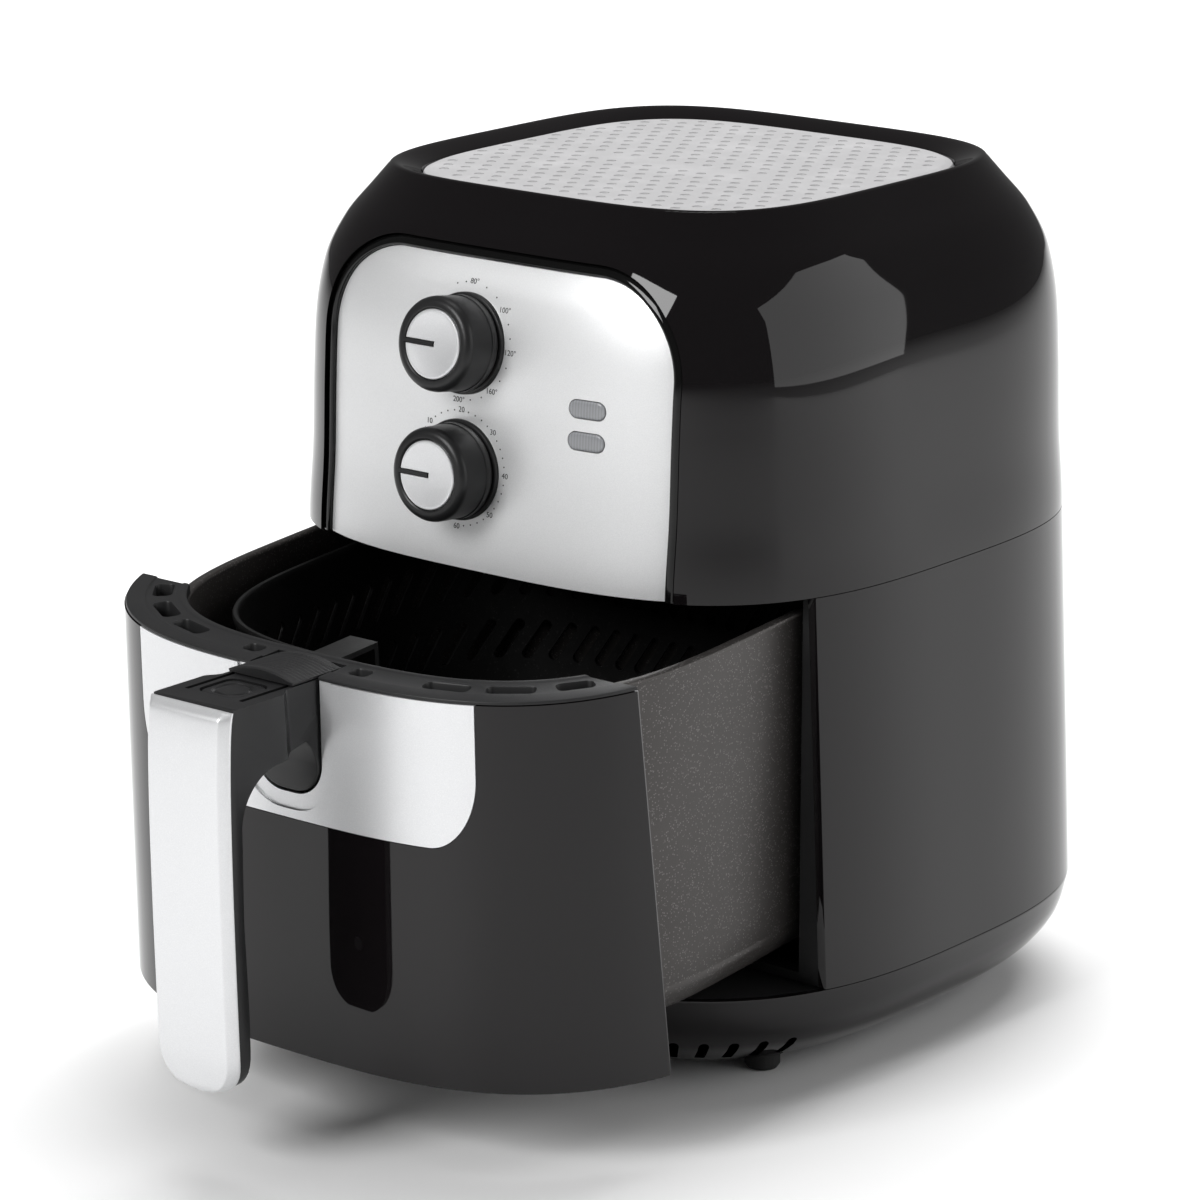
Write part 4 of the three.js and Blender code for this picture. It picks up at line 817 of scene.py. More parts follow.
def build_top_plate(pitch):
    rings = [plate_ring(z, grow) for z, grow in (
        (312.5, -1.5), (313.2, -0.6), (314.6, 0.0), (315.2, -0.05), (315.9, -0.45), (316.8, -2.2),
        (PLATE_TOP_Z, -3.2))]
    piece = loft("top_plate_cover", rings)
    row = pitch * math.sqrt(3) / 2
    reach_x, reach_y = DIMPLED
    places = []
    for j in range(-10, 11):
        for i in range(-11, 12):
            x = (i + 0.5 * (j % 2)) * pitch
            y = j * row
            inside = (abs(x) / reach_x) ** PLATE_SQUARENESS + (abs(y) / reach_y) ** PLATE_SQUARENESS < 1
            plain = abs(x) < 42 and abs(y + row) < row * 0.6
            if inside and not plain:
                places.append(((x, y, PLATE_TOP_Z), (0.0, 0.0, 0.0)))
    dimple = lathe("dimple", [(0.5, -0.75), (1.3, -0.62), (1.8, -0.3), (2.0, 0.2), (2.0, 1.0)], None, 16)
    repeat(piece, dimple, places, finish_of("light_grey"))
    settle(smooth(piece, 28), "body", "light_grey", "top_plate")


# ---- Control panel ------------------------------------------------------------------------------

def panel_place(x, z, up=0.0, spin=0.0):
    """The frame on the panel's face at x and z: +Z out of the face, +Y up it."""
    at = np.array([[x, float(front_y(x, z, PANEL_RECESS)), z]])
    out = Vector(surface_normals(at, PANEL_RECESS)[0])
    rise = (Vector((0, 0, 1)) - out * out.z).normalized()
    across = rise.cross(out)
    basis = Matrix((across, rise, out)).transposed().to_4x4()
    return Matrix.Translation((Vector(at[0]) + out * up) * MM) @ basis @ Matrix.Rotation(spin, 4, "Z")


def dial_place(joint_name, z):
    """The frame on a dial's own axis, where the panel's face is."""
    joint = next(j for j in frame["joints"] if j["name"] == joint_name)
    out = -Vector(joint["axis"])
    at = Vector(joint["pos_m"]) - Vector((0, ORIGIN_Y * MM, 0))
    face = float(front_y(KNOB_X, z, PANEL_RECESS)) * MM
    at += out * ((face - at.y) / out.y)
    rise = (Vector((0, 0, 1)) - out * out.z).normalized()
    basis = Matrix((rise.cross(out), rise, out)).transposed().to_4x4()
    return Matrix.Translation(at) @ basis


def pill(grow):
    return rounded_box(LAMP_SIZE[0] / 2 + grow, LAMP_SIZE[1] / 2 + grow, LAMP_SIZE[1] / 2 + grow - 0.02, 10)


def build_panel():
    back = PANEL_RECESS + PANEL_THICKNESS
    piece = patch("panel_face", (-88, 88), (PANEL_BOTTOM_Z, 306), PANEL_RECESS, back, 120, 90)
    keep(piece, through("outline", panel_outline(0, 170)))
    holes = [lathe("hole", [(3.5, -8), (3.5, 8)], dial_place(name, z), 32)
             for name, z in (("temp_turn", TEMP_Z), ("timer_turn", TIMER_Z))]
    holes += [moved(prism("lamp_hole", pill(GAP), -8, 8), panel_place(LAMP_X, z)) for z in LAMP_ZS]
    cut(piece, *holes)
    settle(polish(piece, (PANEL_RECESS, back)), "body", "silver_panel", "control_panel")


def bezel_path():
    """Up one side of the panel, over its top and down the other, as x, z and the way out."""
    half, radius, top = PANEL_HALF, PANEL_CORNER, PANEL_TOP_Z
    path = [(half, z, 0.0) for z in np.linspace(PANEL_BOTTOM_Z, top - radius, 40)[:-1]]
    right = arc(half - radius, top - radius, radius, 0, 90, 30)
    path += [(u, v, turn) for (u, v), turn in zip(right, np.linspace(0, 90, 31))]
    path += [(x, top, 90.0) for x in np.linspace(half - radius, -half + radius, 40)[1:-1]]
    left = arc(-half + radius, top - radius, radius, 90, 180, 30)
    path += [(u, v, turn) for (u, v), turn in zip(left, np.linspace(90, 180, 31))]
    return path + [(-half, z, 180.0) for z in np.linspace(top - radius, PANEL_BOTTOM_Z, 40)[1:]]


def build_bezel():
    section = ((0.3, 6.3), (0.3, 2.6), (0.45, 2.0), (0.8, 1.55), (1.4, 1.28), (2.3, 1.2), (3.2, 1.28),
               (3.8, 1.5), (4.15, 1.95), (4.3, 2.6), (4.3, 6.3))
    rings = []
    for x, z, degrees in bezel_path():
        turn = math.radians(degrees)
        spots = [(x + off * math.cos(turn), z + off * math.sin(turn), inset) for off, inset in section]
        rings.append([(u, float(front_y(u, v, inset)), v) for u, v, inset in spots])
    piece = smooth(loft("bezel_band", rings), 50)
    settle(piece, "body", "gloss_bezel", "panel_bezel")


def build_lamps():
    for name, z in zip(("lamp_upper", "lamp_lower"), LAMP_ZS):
        rings = []
        for grow, up in ((0, -2.4), (0, 0.05), (-0.15, 0.3), (-0.6, 0.46), (-1.5, 0.55)):
            rings.append([(u, v, up) for u, v in pill(grow)])
        piece = moved(loft(name + "_lens", rings), panel_place(LAMP_X, z))
        settle(smooth(piece, 50), "body", "lens_grey", name)


def build_dial(dial, joint_name, z):
    place = dial_place(joint_name, z)
    body = dial + "_dial"
    back, face = KNOB_BACK, KNOB_BACK + KNOB_LENGTH
    ring_profile = [(3.6, -1.6)]
    ring_profile += [(KNOB_RADIUS + out, up) for out, up in (
        (0.1, -1.6), (0.9, -1.6), (0.9, 0.9), (0.6, 1.35), (0.1, 1.5), (-1, 1.5))]
    ring_profile += [(3.6, 1.5)]
    turn = np.arange(96) * 2 * math.pi / 96
    rings = [np.stack([r * np.cos(turn), r * np.sin(turn), np.full(96, h)], 1) for r, h in ring_profile]
    seat = moved(loft(dial + "_dial_seat", rings, looped=True), place)
    settle(smooth(seat), "body", "satin_black", dial + "_dial_ring")
    skirt = [(KNOB_RADIUS - drawn_in, up) for drawn_in, up in (
        (1.2, back), (0.25, back + 0.15), (0, back + 0.7), (0, back + 3.0), (0.35, back + 3.3),
        (0.35, face - 3.2), (0.5, face - 2.2), (1.1, face - 1.0), (2.1, face - 0.25), (3.0, face))]
    skirt += [(CAP_RADIUS + 0.9, face), (CAP_RADIUS + 0.4, face - 0.3), (CAP_RADIUS + GAP, face - 1.6)]
    knob = lathe(dial + "_dial_body", skirt, None, 128)
    join(knob, block("bar", (-CAP_RADIUS - 0.6, 0.4), (-0.75, 0.75), (face - 3, face + 0.15)))
    cut(knob, lathe("bore", [(3.3, back - 1), (3.3, back + 9)], None, 32))
    settle(smooth(moved(knob, place), 30), body, "satin_black", dial + "_knob")
    disc = [(CAP_RADIUS - drawn_in, face + up) for drawn_in, up in (
        (0, -1.3), (0, -0.35), (0.3, -0.05), (1.0, 0.1), (1.4, 0))]
    cap = lathe(dial + "_dial_cap", disc + [(1.0, face - 0.25)], None, 128)
    cut(cap, block("way", (-CAP_RADIUS - 2, 0.75), (-1.05, 1.05), (face - 4, face + 3)))
    settle(smooth(moved(cap, place), 30), body, "silver_trim", dial + "_knob_cap")


def marking(text, size):
    curve = bpy.data.curves.new("marking", "FONT")
    curve.body = text
    curve.size = size * MM
    curve.align_x = "CENTER"
    curve.align_y = "CENTER"
    curve.extrude = 0.06 * MM
    curve.resolution_u = 3
    holder = bpy.data.objects.new("marking", curve)
    bpy.context.scene.collection.objects.link(holder)
    mesh = bpy.data.meshes.new_from_object(holder.evaluated_get(bpy.context.evaluated_depsgraph_get()))
    bpy.data.objects.remove(holder)
    return mesh


def around(z, radius, degrees):
    turn = math.radians(degrees)
    return KNOB_X + radius * math.sin(turn), z + 0.6 + radius * math.cos(turn)


def build_numbers(scales):
    gathered = bmesh.new()
    for z, numbers, between, first in scales:
        for text, degrees in numbers:
            mesh = marking(text, NUMBER_SIZE)
            mesh.transform(panel_place(*around(z, NUMBER_RADIUS, degrees), up=0.02))
            gathered.from_mesh(mesh)
    bmesh.ops.remove_doubles(gathered, verts=gathered.verts, dist=1e-7)
    bmesh.ops.recalc_face_normals(gathered, faces=gathered.faces)
    letters = bpy.data.meshes.new("dial_numbers")
    gathered.to_mesh(letters)
    gathered.free()
    piece = bpy.data.objects.new("dial_numbers", letters)
    bpy.context.scene.collection.objects.link(piece)
    settle(piece, "body", "satin_black", finish="print_black")


def build_dots(scales):
    places = []
    for z, numbers, between, first in scales:
        turns = [degrees for text, degrees in numbers]
        if first is not None:
            turns.insert(0, first)
        for start, end in zip(turns, turns[1:]):
            for k in range(between):
                degrees = start + (end - start) * (k + 1) / (between + 1)
                matrix = panel_place(*around(z, DOT_RADIUS, degrees))
                places.append((tuple(matrix.translation / MM), tuple(matrix.to_euler())))
    dot = lathe("dot", [(0.3, -0.1), (0.3, 0.07)], None, 12)
    holder = new_piece("dial_dots", [(0, 0, 0), (1, 0, 0), (0, 1, 0)], [(0, 1, 2)])
    repeat(holder, dot, places, finish_of("print_black"), cutting=False)
    settle(holder, "body", "satin_black", finish="print_black")


def build_markings():
    """The dials' generic scales: numbers, and how many dots stand between them."""
    temps = [("80°", 2), ("100°", 52), ("120°", 94), ("160°", 140), ("200°", 184)]
    minutes = [(str(10 * k), -90 + 45 * k) for k in range(7)]
    scales = ((TEMP_Z, temps, 2, -30), (TIMER_Z, minutes, 4, None))
    build_numbers(scales)
    build_dots(scales)


# ---- Drawer -------------------------------------------------------------------------------------

def trim_outline(grow):
    wide, tall = TRIM_CORNER
    corner = [(TRIM_HALF - wide + (wide + grow) * u, TRIM_BOTTOM_Z + tall + (tall + grow) * v)
              for u, v in arc(0, 0, 1, -90, 0, 20)]
    return mirrored([*corner, (TRIM_HALF + grow, 240)])


def pocket_outline(grow):
    half = NECK_HALF + 0.8 + grow
    return u_outline(half, POCKET_BOTTOM_Z - grow, 240, min(13 + grow, half - 0.01))


def form_tool(name, outline, front, back):
    tool = patch(name, (-90, 90), (110, 215), front, back, 60, 40)
    return keep(tool, through("outline", outline))


def build_drawer_front():
    heights = [BASE_SEAM_Z + GAP, *np.linspace(41, 179.6, 26), FRONT_TOP_Z]
    piece = wall_piece("drawer_front_wall", heights, OPENING_Y - GAP, FRONT_WALL, False)
    cut(piece, form_tool("recess", trim_outline(GAP), -1.0, TRIM_THICKNESS + GAP),
        form_tool("step", pocket_outline(TRIM_STEP + 1.2), -1.0, TRIM_THICKNESS + STEP_DEPTH + GAP),
        through("pocket", pocket_outline(0)))
    settle(polish(piece, (0.0, FRONT_WALL)), "drawer", "gloss_black", "drawer_front", swung=True)


def build_trim():
    face = patch("drawer_trim_face", (-90, 90), (110, FRONT_TOP_Z), 0.0, TRIM_THICKNESS, 110, 60)
    keep(face, through("outline", trim_outline(0)))
    cut(face, through("window", pocket_outline(TRIM_STEP)))
    front, back = STEP_DEPTH * 0.6, TRIM_THICKNESS + STEP_DEPTH * 0.8
    step = patch("step", (-40, 40), (115, FRONT_TOP_Z), front, back, 50, 50)
    keep(step, through("outline", pocket_outline(TRIM_STEP + 0.8)))
    cut(step, through("window", pocket_outline(0)))
    join(face, step)
    settle(polish(face, (0.0, front)), "drawer", "silver_trim", "drawer_trim", swung=True)


def rim_slot_place(x):
    middle = RIM_WIDTH / 2 + 2
    half = float(half_width(SEAM_Z)) - middle
    n = float(squareness(SEAM_Z))
    y = -(half + DEPTH_EXTRA) * (1 - abs(x / half) ** n) ** (1 / n)
    slope = math.atan2(math.copysign(abs(x / half) ** (n - 1), x), abs(y / half) ** (n - 1))
    return (x, y, RIM_TOP_Z), (0.0, 0.0, slope)


def build_rim():
    profile = ((0.4, 180.8), (0.4, 181.4), (0.6, 181.8), (1.1, 182.0), (6.6, 182.0), (7.0, 181.6),
               (7.6, 181.5), (17.0, 181.5), (17.5, 181.7), (18.0, 182.0), (19.2, 182.0), (19.8, 181.7),
               (20.0, 181.2), (20.0, 178.4), (16.6, 178.4), (16.6, 173.0), (5.1, 173.0), (5.1, 180.8))
    n = float(squareness(RIM_TOP_Z))
    sections = []
    for share in np.linspace(0, 1, 180):
        section = []
        for inset, z in profile:
            half = float(half_width(RIM_TOP_Z)) - inset
            x = half * (1 - (abs(OPENING_Y - GAP) / (half + DEPTH_EXTRA)) ** n) ** (1 / n)
            end = math.atan2(OPENING_Y - GAP, x)
            angle = end + (-math.pi - 2 * end) * share
            section.append(ring(half, half + DEPTH_EXTRA, n, z, np.array([angle]))[0])
        sections.append(section)
    piece = loft("drawer_rim_frame", sections)
    cut(piece, prism("notch", pocket_outline(0), -300, CORE_BACK_Y + GAP, "xz"),
        block("strap", (-STRAP_WAY_HALF, STRAP_WAY_HALF), (-200, 0), (170, 180.6)),
        loft("flange", [ring(PAN[0] + 3.1, PAN[1] + 3.1, PAN[2], z) for z in (162, 178.1)]))
    for x, length, width in RIM_SLOTS:
        for side in (-1, 1):
            tool = loft("slot", [[(u, v, z) for u, v in rounded_box(length / 2 + g, width / 2 + g, 2.2 + g)]
                                 for z, g in ((-7.5, 0), (-0.9, 0), (-0.35, 0.35), (3, 0.5))])
            at, turn = rim_slot_place(side * x)
            moved(tool, Matrix.Translation(Vector(at) * MM) @ Euler(turn).to_matrix().to_4x4())
            cut(piece, tool)
    settle(smooth(piece, 40), "drawer", "matte_black", "drawer_rim", swung=True)


def pan_ring(z, inset):
    return ring(PAN[0] - inset, PAN[1] - inset, PAN[2], z, count=200)


def build_pan():
    outer = [(45.0, 14.5), (45.5, 11.6), (46.8, 9.0), (49, 6.3), (52, 4.0), (55, 2.5), (57.4, 1.7), (58, 1.9),
             (59, 1.9), (60, 1.55)]
    outer += [(z, 1.55 - 1.4 * (z - 60) / 115.4) for z in np.linspace(70, 174.9, 8)]
    flange = [(175.3, -0.3), (175.4, -1.6), (175.8, -2.3), (176.4, -2.5), (177.0, -2.3), (177.4, -1.6),
              (177.5, -0.6), (177.4, 0.6), (176.9, 1.3), (176, 1.6)]
    inner = [(z, 1.75 + 1.3 * (176 - z) / 116) for z in np.linspace(170, 60, 6)]
    inner += [(55, 4.2), (52, 5.7), (49, 8.0), (47.2, 10.8), (46.5, 14.5)]
    piece = loft("pan_shell", [pan_ring(z, inset) for z, inset in outer + flange + inner])
    settle(smooth(piece, 40), "drawer", "pan_coating", "pan", swung=True)


def basket_ring(z, inset):
    return ring(BASKET[0] - inset, BASKET[1] - inset, BASKET[2], z, centre_y=BASKET_Y, count=200)


def basket_slot_places():
    """Three rows of slots round the wall, leaning, with a gap behind the handle."""
    half_x, half_y = BASKET[0] - 4.5, BASKET[1] - 4.5
    up = Vector((0, 0, 1))
    places = []
    for degrees in np.arange(3.0, 360, 6.0):
        for row, z in enumerate((92, 118, 144)):
            angles = np.array([math.radians(degrees), math.radians(degrees) + 0.01])
            flat, following = ring(half_x, half_y, BASKET[2], z, angles, BASKET_Y)
            if row == 2 and abs(flat[0]) < 22 and flat[1] < 0:
                continue
            step = following - flat
            out = Vector((step[1], -step[0], 0)).normalized()
            basis = Matrix((up.cross(out), up, out)).transposed().to_4x4() @ Matrix.Rotation(0.62, 4, "Z")
            places.append((tuple(flat), tuple(basis.to_euler())))
    return places


def build_basket():
    outer = [(60, 16), (60.6, 12.6), (62.4, 9.6), (65.5, 6.2), (69, 4.0), (110, 2.3), (163.5, 0.9),
             (165.5, 0.8), (166.4, 0.3), (167.6, 0.0), (169, 0.0), (169.8, 0.35), (170, 0.9),
             (169.7, 1.7), (168.8, 2.2), (167, 2.3)]
    inner = [(110, 3.8), (70, 5.6), (66, 8.0), (63.3, 11.2), (61.8, 14.2), (61.4, 17)]
    piece = loft("basket_shell", [basket_ring(z, inset) for z, inset in outer + inner])
    slot = prism("slot", rounded_box(2.1, 9.5, 2.05), -6, 6)
    repeat(piece, slot, basket_slot_places(), finish_of("basket_coating"))
    floor_slot = prism("floor_slot", rounded_box(1.6, 9, 1.55), -3, 6)
    spots = [((x, y + BASKET_Y, 60), (0, 0, 0.5 if (x // 12) % 2 else -0.5))
             for x in range(-66, 67, 12) for y in (-56, -28, 0, 28, 56)]
    repeat(piece, floor_slot, spots, finish_of("basket_coating"))
    settle(smooth(piece, 40), "drawer", "basket_coating", "basket", swung=True)


# ---- Handle -------------------------------------------------------------------------------------

def cover_face_y(z):
    down = np.clip((HANDLE_TOP_Z - z) / (HANDLE_TOP_Z - HANDLE_BOTTOM_Z), 0, 1)
    return GRIP_BACK_Y - 1.4 - 11 * down ** 0.5 + np.clip(down - 0.9, 0, None) * 14


def handle_half(z):
    top = HANDLE_BOTTOM_Z + 16
    rise = np.clip((top - z) / 16.4, 0, 1)
    return HANDLE_HALF * (1 - rise ** 2.5) ** 0.4


TIP_HEIGHTS = [HANDLE_BOTTOM_Z + r for r in (0, 0.15, 0.4, 0.8, 1.4, 2.2, 3.2, 4.5, 6, 8, 10.5, 13, 16)]


def build_cover():
    top = HANDLE_TOP_Z - 0.6
    heights = [*TIP_HEIGHTS, *np.linspace(HANDLE_BOTTOM_Z + 20, top - 4, 34)]
    heights += [top - drop for drop in (2.6, 1.6, 0.9, 0.4, 0.1, 0)]
    rings = []
    for z in heights:
        half = float(handle_half(z))
        back = float(cover_face_y(z)) + COVER_DEPTH
        drop = max(0.0, 1 - (top - z) / 2.0)
        face = back - COVER_DEPTH + 2.2 * drop ** 2 + 1.2 * max(0.0, 1 - (z - HANDLE_BOTTOM_Z) / 3.0) ** 2
        bevel = min(COVER_BEVEL, half * 0.5)
        edge = min(face + COVER_BEVEL * 0.95, back - 0.5)
        side = [(half, back), (half, edge + 0.35), (half - 0.12, edge), (half - 0.35, edge - 0.3)]
        flat = half - bevel
        side += [(flat + 0.45, face + 0.28), (flat, face + 0.05), (flat - 0.6, face)]
        side += [(max(flat - 0.6, 0.1) * k, face - 0.35 * (1 - k * k)) for k in (0.66, 0.33)]
        points = side + [(0.0, face - 0.35)] + [(-u, y) for u, y in reversed(side)]
        rings.append([(u, y, z) for u, y in points])
    piece = loft("handle_cover_face", rings)
    settle(smooth(piece, 32), "drawer", "silver_trim", "handle_cover", swung=True)


def core_grip():
    """The grip and the arm to the drawer: a side profile, narrowed from the front and from above."""
    heights = [HANDLE_BOTTOM_Z + r for r in (0.4, 1.5, 3.5, 7, 11, 16)]
    heights += [*np.linspace(HANDLE_BOTTOM_Z + 24, 180, 24), 183.6]
    profile = [(float(cover_face_y(z)) + COVER_DEPTH + GAP, z) for z in heights]
    profile += [(profile[-1][0], HANDLE_TOP_Z), (CORE_BACK_Y, HANDLE_TOP_Z), (CORE_BACK_Y, HANDLE_TOP_Z - 13)]
    under = 158.5
    profile += [(FRONT_FACE_Y + 1, HANDLE_TOP_Z - 15), (FRONT_FACE_Y - 6, under + 2),
                *arc(GRIP_BACK_Y + 22, under - 20, 20, 84, 170, 18)]
    profile += [(GRIP_BACK_Y - back, z) for back, z in (
        (0.3, 108), (0.8, 88), (1.2, 74), (3, HANDLE_BOTTOM_Z + 0.4))]
    piece = prism("handle_core_grip", profile, -30, 30, "yz")
    side = [(float(handle_half(z)) - 0.5, z) for z in TIP_HEIGHTS] + [(HANDLE_HALF - 0.5, 190)]
    keep(piece, prism("front", mirrored(side), -350, 0, "xz"))
    waist = FRONT_FACE_Y - 14
    blend = [(NECK_HALF + (HANDLE_HALF - NECK_HALF) * (1 - math.cos(t)) / 2, waist - 8 * t / math.pi)
             for t in np.linspace(0, math.pi, 9)]
    keep(piece, prism("plan", mirrored([(NECK_HALF, 0), *blend, (HANDLE_HALF, -350)]), 0, 230, "xy"))
    return rounded(piece, 0.9, 3, 50)


def core_root():
    """What fills the drawer front's pocket under the arm."""
    face = FRONT_FACE_Y - 1.2
    bottom = POCKET_BOTTOM_Z + 0.8
    profile = [(-122.5, bottom), (-122.5, 172)]
    profile += [(face - out, z) for out, z in (
        (4, 172), (7, 161.2), (5, 159.6), (3.2, 157.3), (1.8, 154.2), (0.9, 150.5), (0.5, 146),
        (0.5, bottom))]
    piece = prism("root", profile, -30, 30, "yz")
    keep(piece, prism("root_front", u_outline(NECK_HALF, bottom, 220, 12.4), -350, 0, "xz"))
    return rounded(piece, 0.8, 3, 50)


def build_core():
    piece = core_grip()
    join(piece, core_root())
    middle = BUTTON_START + BUTTON_LENGTH / 2
    well = [(u, v + middle) for u, v in rounded_box(BUTTON_HALF + 0.5, BUTTON_LENGTH / 2 + 0.5, 4.3)]
    cut(piece, block("above", (-60, 60), (0.1, 120), (0, 40), DECK), moved(prism("well", well, -12, 1), DECK),
        *[block("groove", (s * GROOVE_X - 1, s * GROOVE_X + 1), (BUTTON_START - 1, 120), (-2.2, 1), DECK)
          for s in (-1, 1)])
    upright = Matrix.Rotation(math.pi / 2, 4, "X")
    cut(piece, *[lathe("bore", [(2.8, -2), (2.8, 3.1)], shift(0, GRIP_BACK_Y - 0.1, z) @ upright, 24)
                 for z in HANDLE_SCREW_ZS])
    settle(smooth(piece, 32), "drawer", "satin_black", "handle_core", swung=True)


def build_button():
    middle = BUTTON_START + BUTTON_LENGTH / 2
    rings = []
    for grow, up in ((0, -4.6), (0, -1.0), (-0.15, -0.65), (-0.5, -0.45), (-1.4, -0.4), (-2.0, -0.45),
                     (-2.3, -0.9), (-2.8, -1.25), (-3.3, -0.9), (-3.6, -0.5), (-4.5, -0.42)):
        radius = max(4 + grow, 0.8) if grow > -1.9 else max(6.4 + grow * 0.4, 1.0)
        half = BUTTON_HALF + grow
        outline = rounded_box(half, BUTTON_LENGTH / 2 + grow, min(radius, half - 0.1))
        rings.append([(u, v + middle, up) for u, v in outline])
    piece = loft("button_cap", rings)
    join(piece, lathe("stem", [(3, -8.6), (3, -3)], shift(0, middle, 0), 24))
    moved(piece, DECK)
    settle(smooth(piece, 35), "release_button", "satin_black", "release_button", swung=True)


def build_guard():
    foot = 0.35
    rise = GUARD_CROWN - 0.9
    radius = (GUARD_HALF ** 2 + rise ** 2) / (2 * rise)
    spread = math.degrees(math.asin(GUARD_HALF / radius))
    top = arc(0, foot + GUARD_CROWN - radius, radius, 90 - spread, 90 + spread, 28)
    sections = []
    for y in np.linspace(0, GUARD_LENGTH, 150):
        inside = min(y, GUARD_LENGTH - y)
        drop = 0.5 * max(0.0, 1 - inside / 0.8) ** 2
        ribbed = 3.0 < y < GUARD_LENGTH - 3.0
        lower = drop + (0.28 * (0.5 - 0.5 * math.cos(2 * math.pi * y / 1.9)) if ribbed else 0.0)
        section = [(GUARD_HALF - 0.2, GUARD_START + y, foot)]
        section += [(u, GUARD_START + y, v - lower * min(1.0, (GUARD_HALF - abs(u)) / 2.0)) for u, v in top]
        section += [(-GUARD_HALF + 0.2, GUARD_START + y, foot)]
        sections.append(section)
    piece = loft("guard_cover", sections)
    along = (GUARD_START + 1, GUARD_START + GUARD_LENGTH - 3)
    join(piece, *[block("rail", (s * GROOVE_X - 0.6, s * GROOVE_X + 0.6), along, (-1.8, foot + 0.5))
                  for s in (-1, 1)])
    moved(piece, DECK)
    settle(smooth(piece, 40), "button_guard", "matte_black", "button_guard", swung=True)


# ---- Finishes on the pieces that keep their own shape --------------------------------------------

def finish_nodes():
    wanted = {p["node"]: p["material_slot"] for p in frame["record"]["subparts"]}
    for name, node in frame["nodes"].items():
        material = finish_of(wanted[name])
        if not node.material_slots:
            node.data.materials.append(material)
        for holder in node.material_slots:
            holder.material = material


# ---- Stage --------------------------------------------------------------------------------------

def build_stage(strength):
    s = Shader("stage_pale", (0.86, 0.86, 0.86), 0.55)
    s.tint(s.noise(3.0, 2.0).share(0.3, 0.8) * 0.2, (0.9, 0.9, 0.9))
    s.rough(s.noise(60.0) * 0.1 + 0.5)
    corners = [(x, y, -0.4) for x, y in ((-6000, -6000), (6000, -6000), (6000, 6000), (-6000, 6000))]
    floor = new_piece("stage_floor", corners, [(0, 1, 2, 3)])
    floor.data.materials.append(s.material)
    world = bpy.data.worlds.new("studio")
    world.use_nodes = True
    bpy.context.scene.world = world
    background = next(n for n in world.node_tree.nodes if n.type == "BACKGROUND")
    background.inputs["Color"].default_value = (1.0, 1.0, 1.0, 1)
    background.inputs["Strength"].default_value = 0.14 * strength
    lights = (  # name, place, aim, size, power
        ("key", (-0.45, -2.85, 2.0), (0, 0, 0.15), (1.4, 1.5), 84),
        ("side", (1.95, 0.75, 0.9), (0, 0, 0.3), (2.5, 1.7), 24),
        ("top", (-0.3, 0.1, 2.6), (0, 0, 0.2), (1.4, 0.7), 9),
        ("back_floor", (-0.9, 2.2, 3.0), (-0.6, 1.6, 0), (3.6, 3.4), 215),
    )
    for name, place, aim, size, power in lights:
        data = bpy.data.lights.new(name, "AREA")
        data.shape = "RECTANGLE"
        data.size, data.size_y = size
        data.energy = power * strength
        lamp = bpy.data.objects.new(name, data)
        lamp.location = place
        lamp.rotation_euler = (Vector(aim) - Vector(place)).to_track_quat("-Z", "Y").to_euler()
        lamp.visible_glossy = name != "back_floor"
        bpy.context.scene.collection.objects.link(lamp)
    camera_data = bpy.data.cameras.new("view")
    camera_data.lens = CAMERA_LENS
    camera_data.sensor_width = 36
    camera_data.clip_start, camera_data.clip_end = 0.05, 50
    camera = bpy.data.objects.new("view", camera_data)
    camera.location = CAMERA_PLACE
    camera.rotation_euler = (Vector(CAMERA_AIM) - Vector(CAMERA_PLACE)).to_track_quat("-Z", "Y").to_euler()
    bpy.context.scene.collection.objects.link(camera)
    bpy.context.scene.camera = camera
    bpy.context.scene.view_settings.view_transform = "Standard"


# ---- Add-on -------------------------------------------------------------------------------------

def color_setting(label, what, default):
    return bpy.props.FloatVectorProperty(name=label, description="Colour of " + what, subtype="COLOR",
                                         size=3, default=default, min=0.0, max=1.0)


class FryerSettings(bpy.types.PropertyGroup):
    """What can be changed before the pieces are built."""

    dimple_pitch: bpy.props.FloatProperty(
        name="Dimple pitch", description="Distance between the top plate's dimples",
        default=DIMPLE_PITCH * MM, min=0.006, max=0.014, precision=4, unit="LENGTH")
    shell_color: color_setting("Shell", "the gloss housing and drawer front", (0.0042, 0.0034, 0.0038))
    panel_color: color_setting("Panel", "the control panel's paint", (0.76, 0.765, 0.77))
    trim_color: color_setting("Trim", "the paint of the trim, handle and dial caps", (0.7, 0.705, 0.715))
    plate_color: color_setting("Top plate", "the dimpled top plate", (0.36, 0.357, 0.362))
    light: bpy.props.FloatProperty(
        name="Light", description="Strength of the studio light", default=1.0, min=0.1, max=4.0,
        subtype="FACTOR")


def operator(identifier, label, text, action):
    """An operator class that runs one builder."""

    def execute(self, context):
        action(context.scene.fryer)
        return {"FINISHED"}

    return type("FRYER_OT_" + identifier, (bpy.types.Operator,), {
        "__doc__": text, "bl_idname": "fryer." + identifier, "bl_label": label, "execute": execute})


def build_dials(settings):
    build_dial("temp", "temp_turn", TEMP_Z)
    build_dial("timer", "timer_turn", TIMER_Z)


def build_plate(settings):
    build_top_plate(round(settings.dimple_pitch / MM, 3))


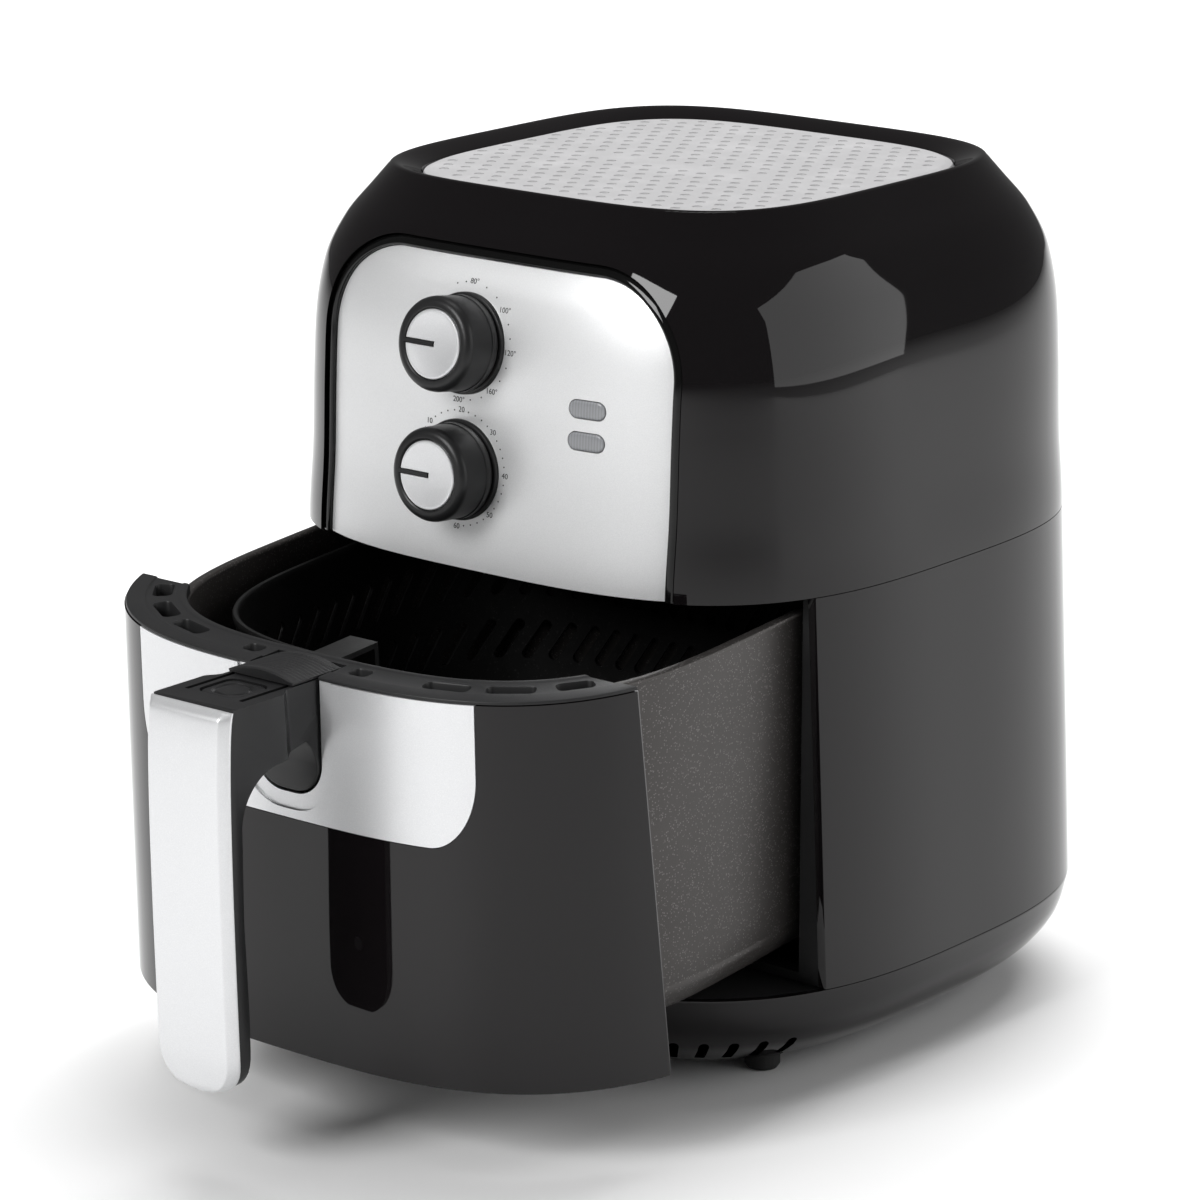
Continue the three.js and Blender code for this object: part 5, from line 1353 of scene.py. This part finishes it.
STEPS = [
    ("upper_housing", "Upper housing", "Build the domed housing", lambda s: build_upper_housing()),
    ("lower_housing", "Lower housing", "Build the side and back wall", lambda s: build_lower_housing()),
    ("base", "Base", "Build the base tray with its slots", lambda s: build_base()),
    ("top_plate", "Top plate", "Build the dimpled top plate", build_plate),
    ("panel", "Control panel", "Build the silver panel", lambda s: build_panel()),
    ("bezel", "Bezel", "Build the band round the panel", lambda s: build_bezel()),
    ("lamps", "Lamps", "Build the two lamp windows", lambda s: build_lamps()),
    ("dials", "Dials", "Build both dials", build_dials),
    ("markings", "Markings", "Build the dials' scales", lambda s: build_markings()),
    ("drawer_front", "Drawer front", "Build the drawer's front wall", lambda s: build_drawer_front()),
    ("trim", "Drawer trim", "Build the silver trim", lambda s: build_trim()),
    ("rim", "Drawer rim", "Build the slotted rim", lambda s: build_rim()),
    ("pan", "Pan", "Build the pan", lambda s: build_pan()),
    ("basket", "Basket", "Build the slotted basket", lambda s: build_basket()),
    ("cover", "Handle cover", "Build the handle's silver cover", lambda s: build_cover()),
    ("core", "Handle core", "Build the handle's core", lambda s: build_core()),
    ("button", "Release button", "Build the release button", lambda s: build_button()),
    ("guard", "Button guard", "Build the sliding guard", lambda s: build_guard()),
    ("finishes", "Finishes", "Give every other piece its finish", lambda s: finish_nodes()),
    ("stage", "Stage", "Build the floor, lights and camera", lambda s: build_stage(s.light)),
]
OPERATORS = [operator(*step) for step in STEPS]


class FRYER_PT_panel(bpy.types.Panel):
    """Lists the builders in the sidebar"""

    bl_idname = "FRYER_PT_panel"
    bl_label = "Air fryer"
    bl_space_type = "VIEW_3D"
    bl_region_type = "UI"
    bl_category = "Air fryer"

    def draw(self, context):
        for name in ("dimple_pitch", "shell_color", "panel_color", "trim_color", "plate_color", "light"):
            self.layout.prop(context.scene.fryer, name)
        for cls in OPERATORS:
            self.layout.operator(cls.bl_idname)


CLASSES = [FryerSettings, *OPERATORS, FRYER_PT_panel]


def register():
    for cls in CLASSES:
        bpy.utils.register_class(cls)
    bpy.types.Scene.fryer = bpy.props.PointerProperty(type=FryerSettings)


def unregister():
    del bpy.types.Scene.fryer
    for cls in reversed(CLASSES):
        bpy.utils.unregister_class(cls)


def main():
    register()
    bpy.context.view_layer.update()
    for cls in OPERATORS:
        getattr(bpy.ops.fryer, cls.bl_idname.split(".")[1])()


if __name__ == "__main__":
    main()
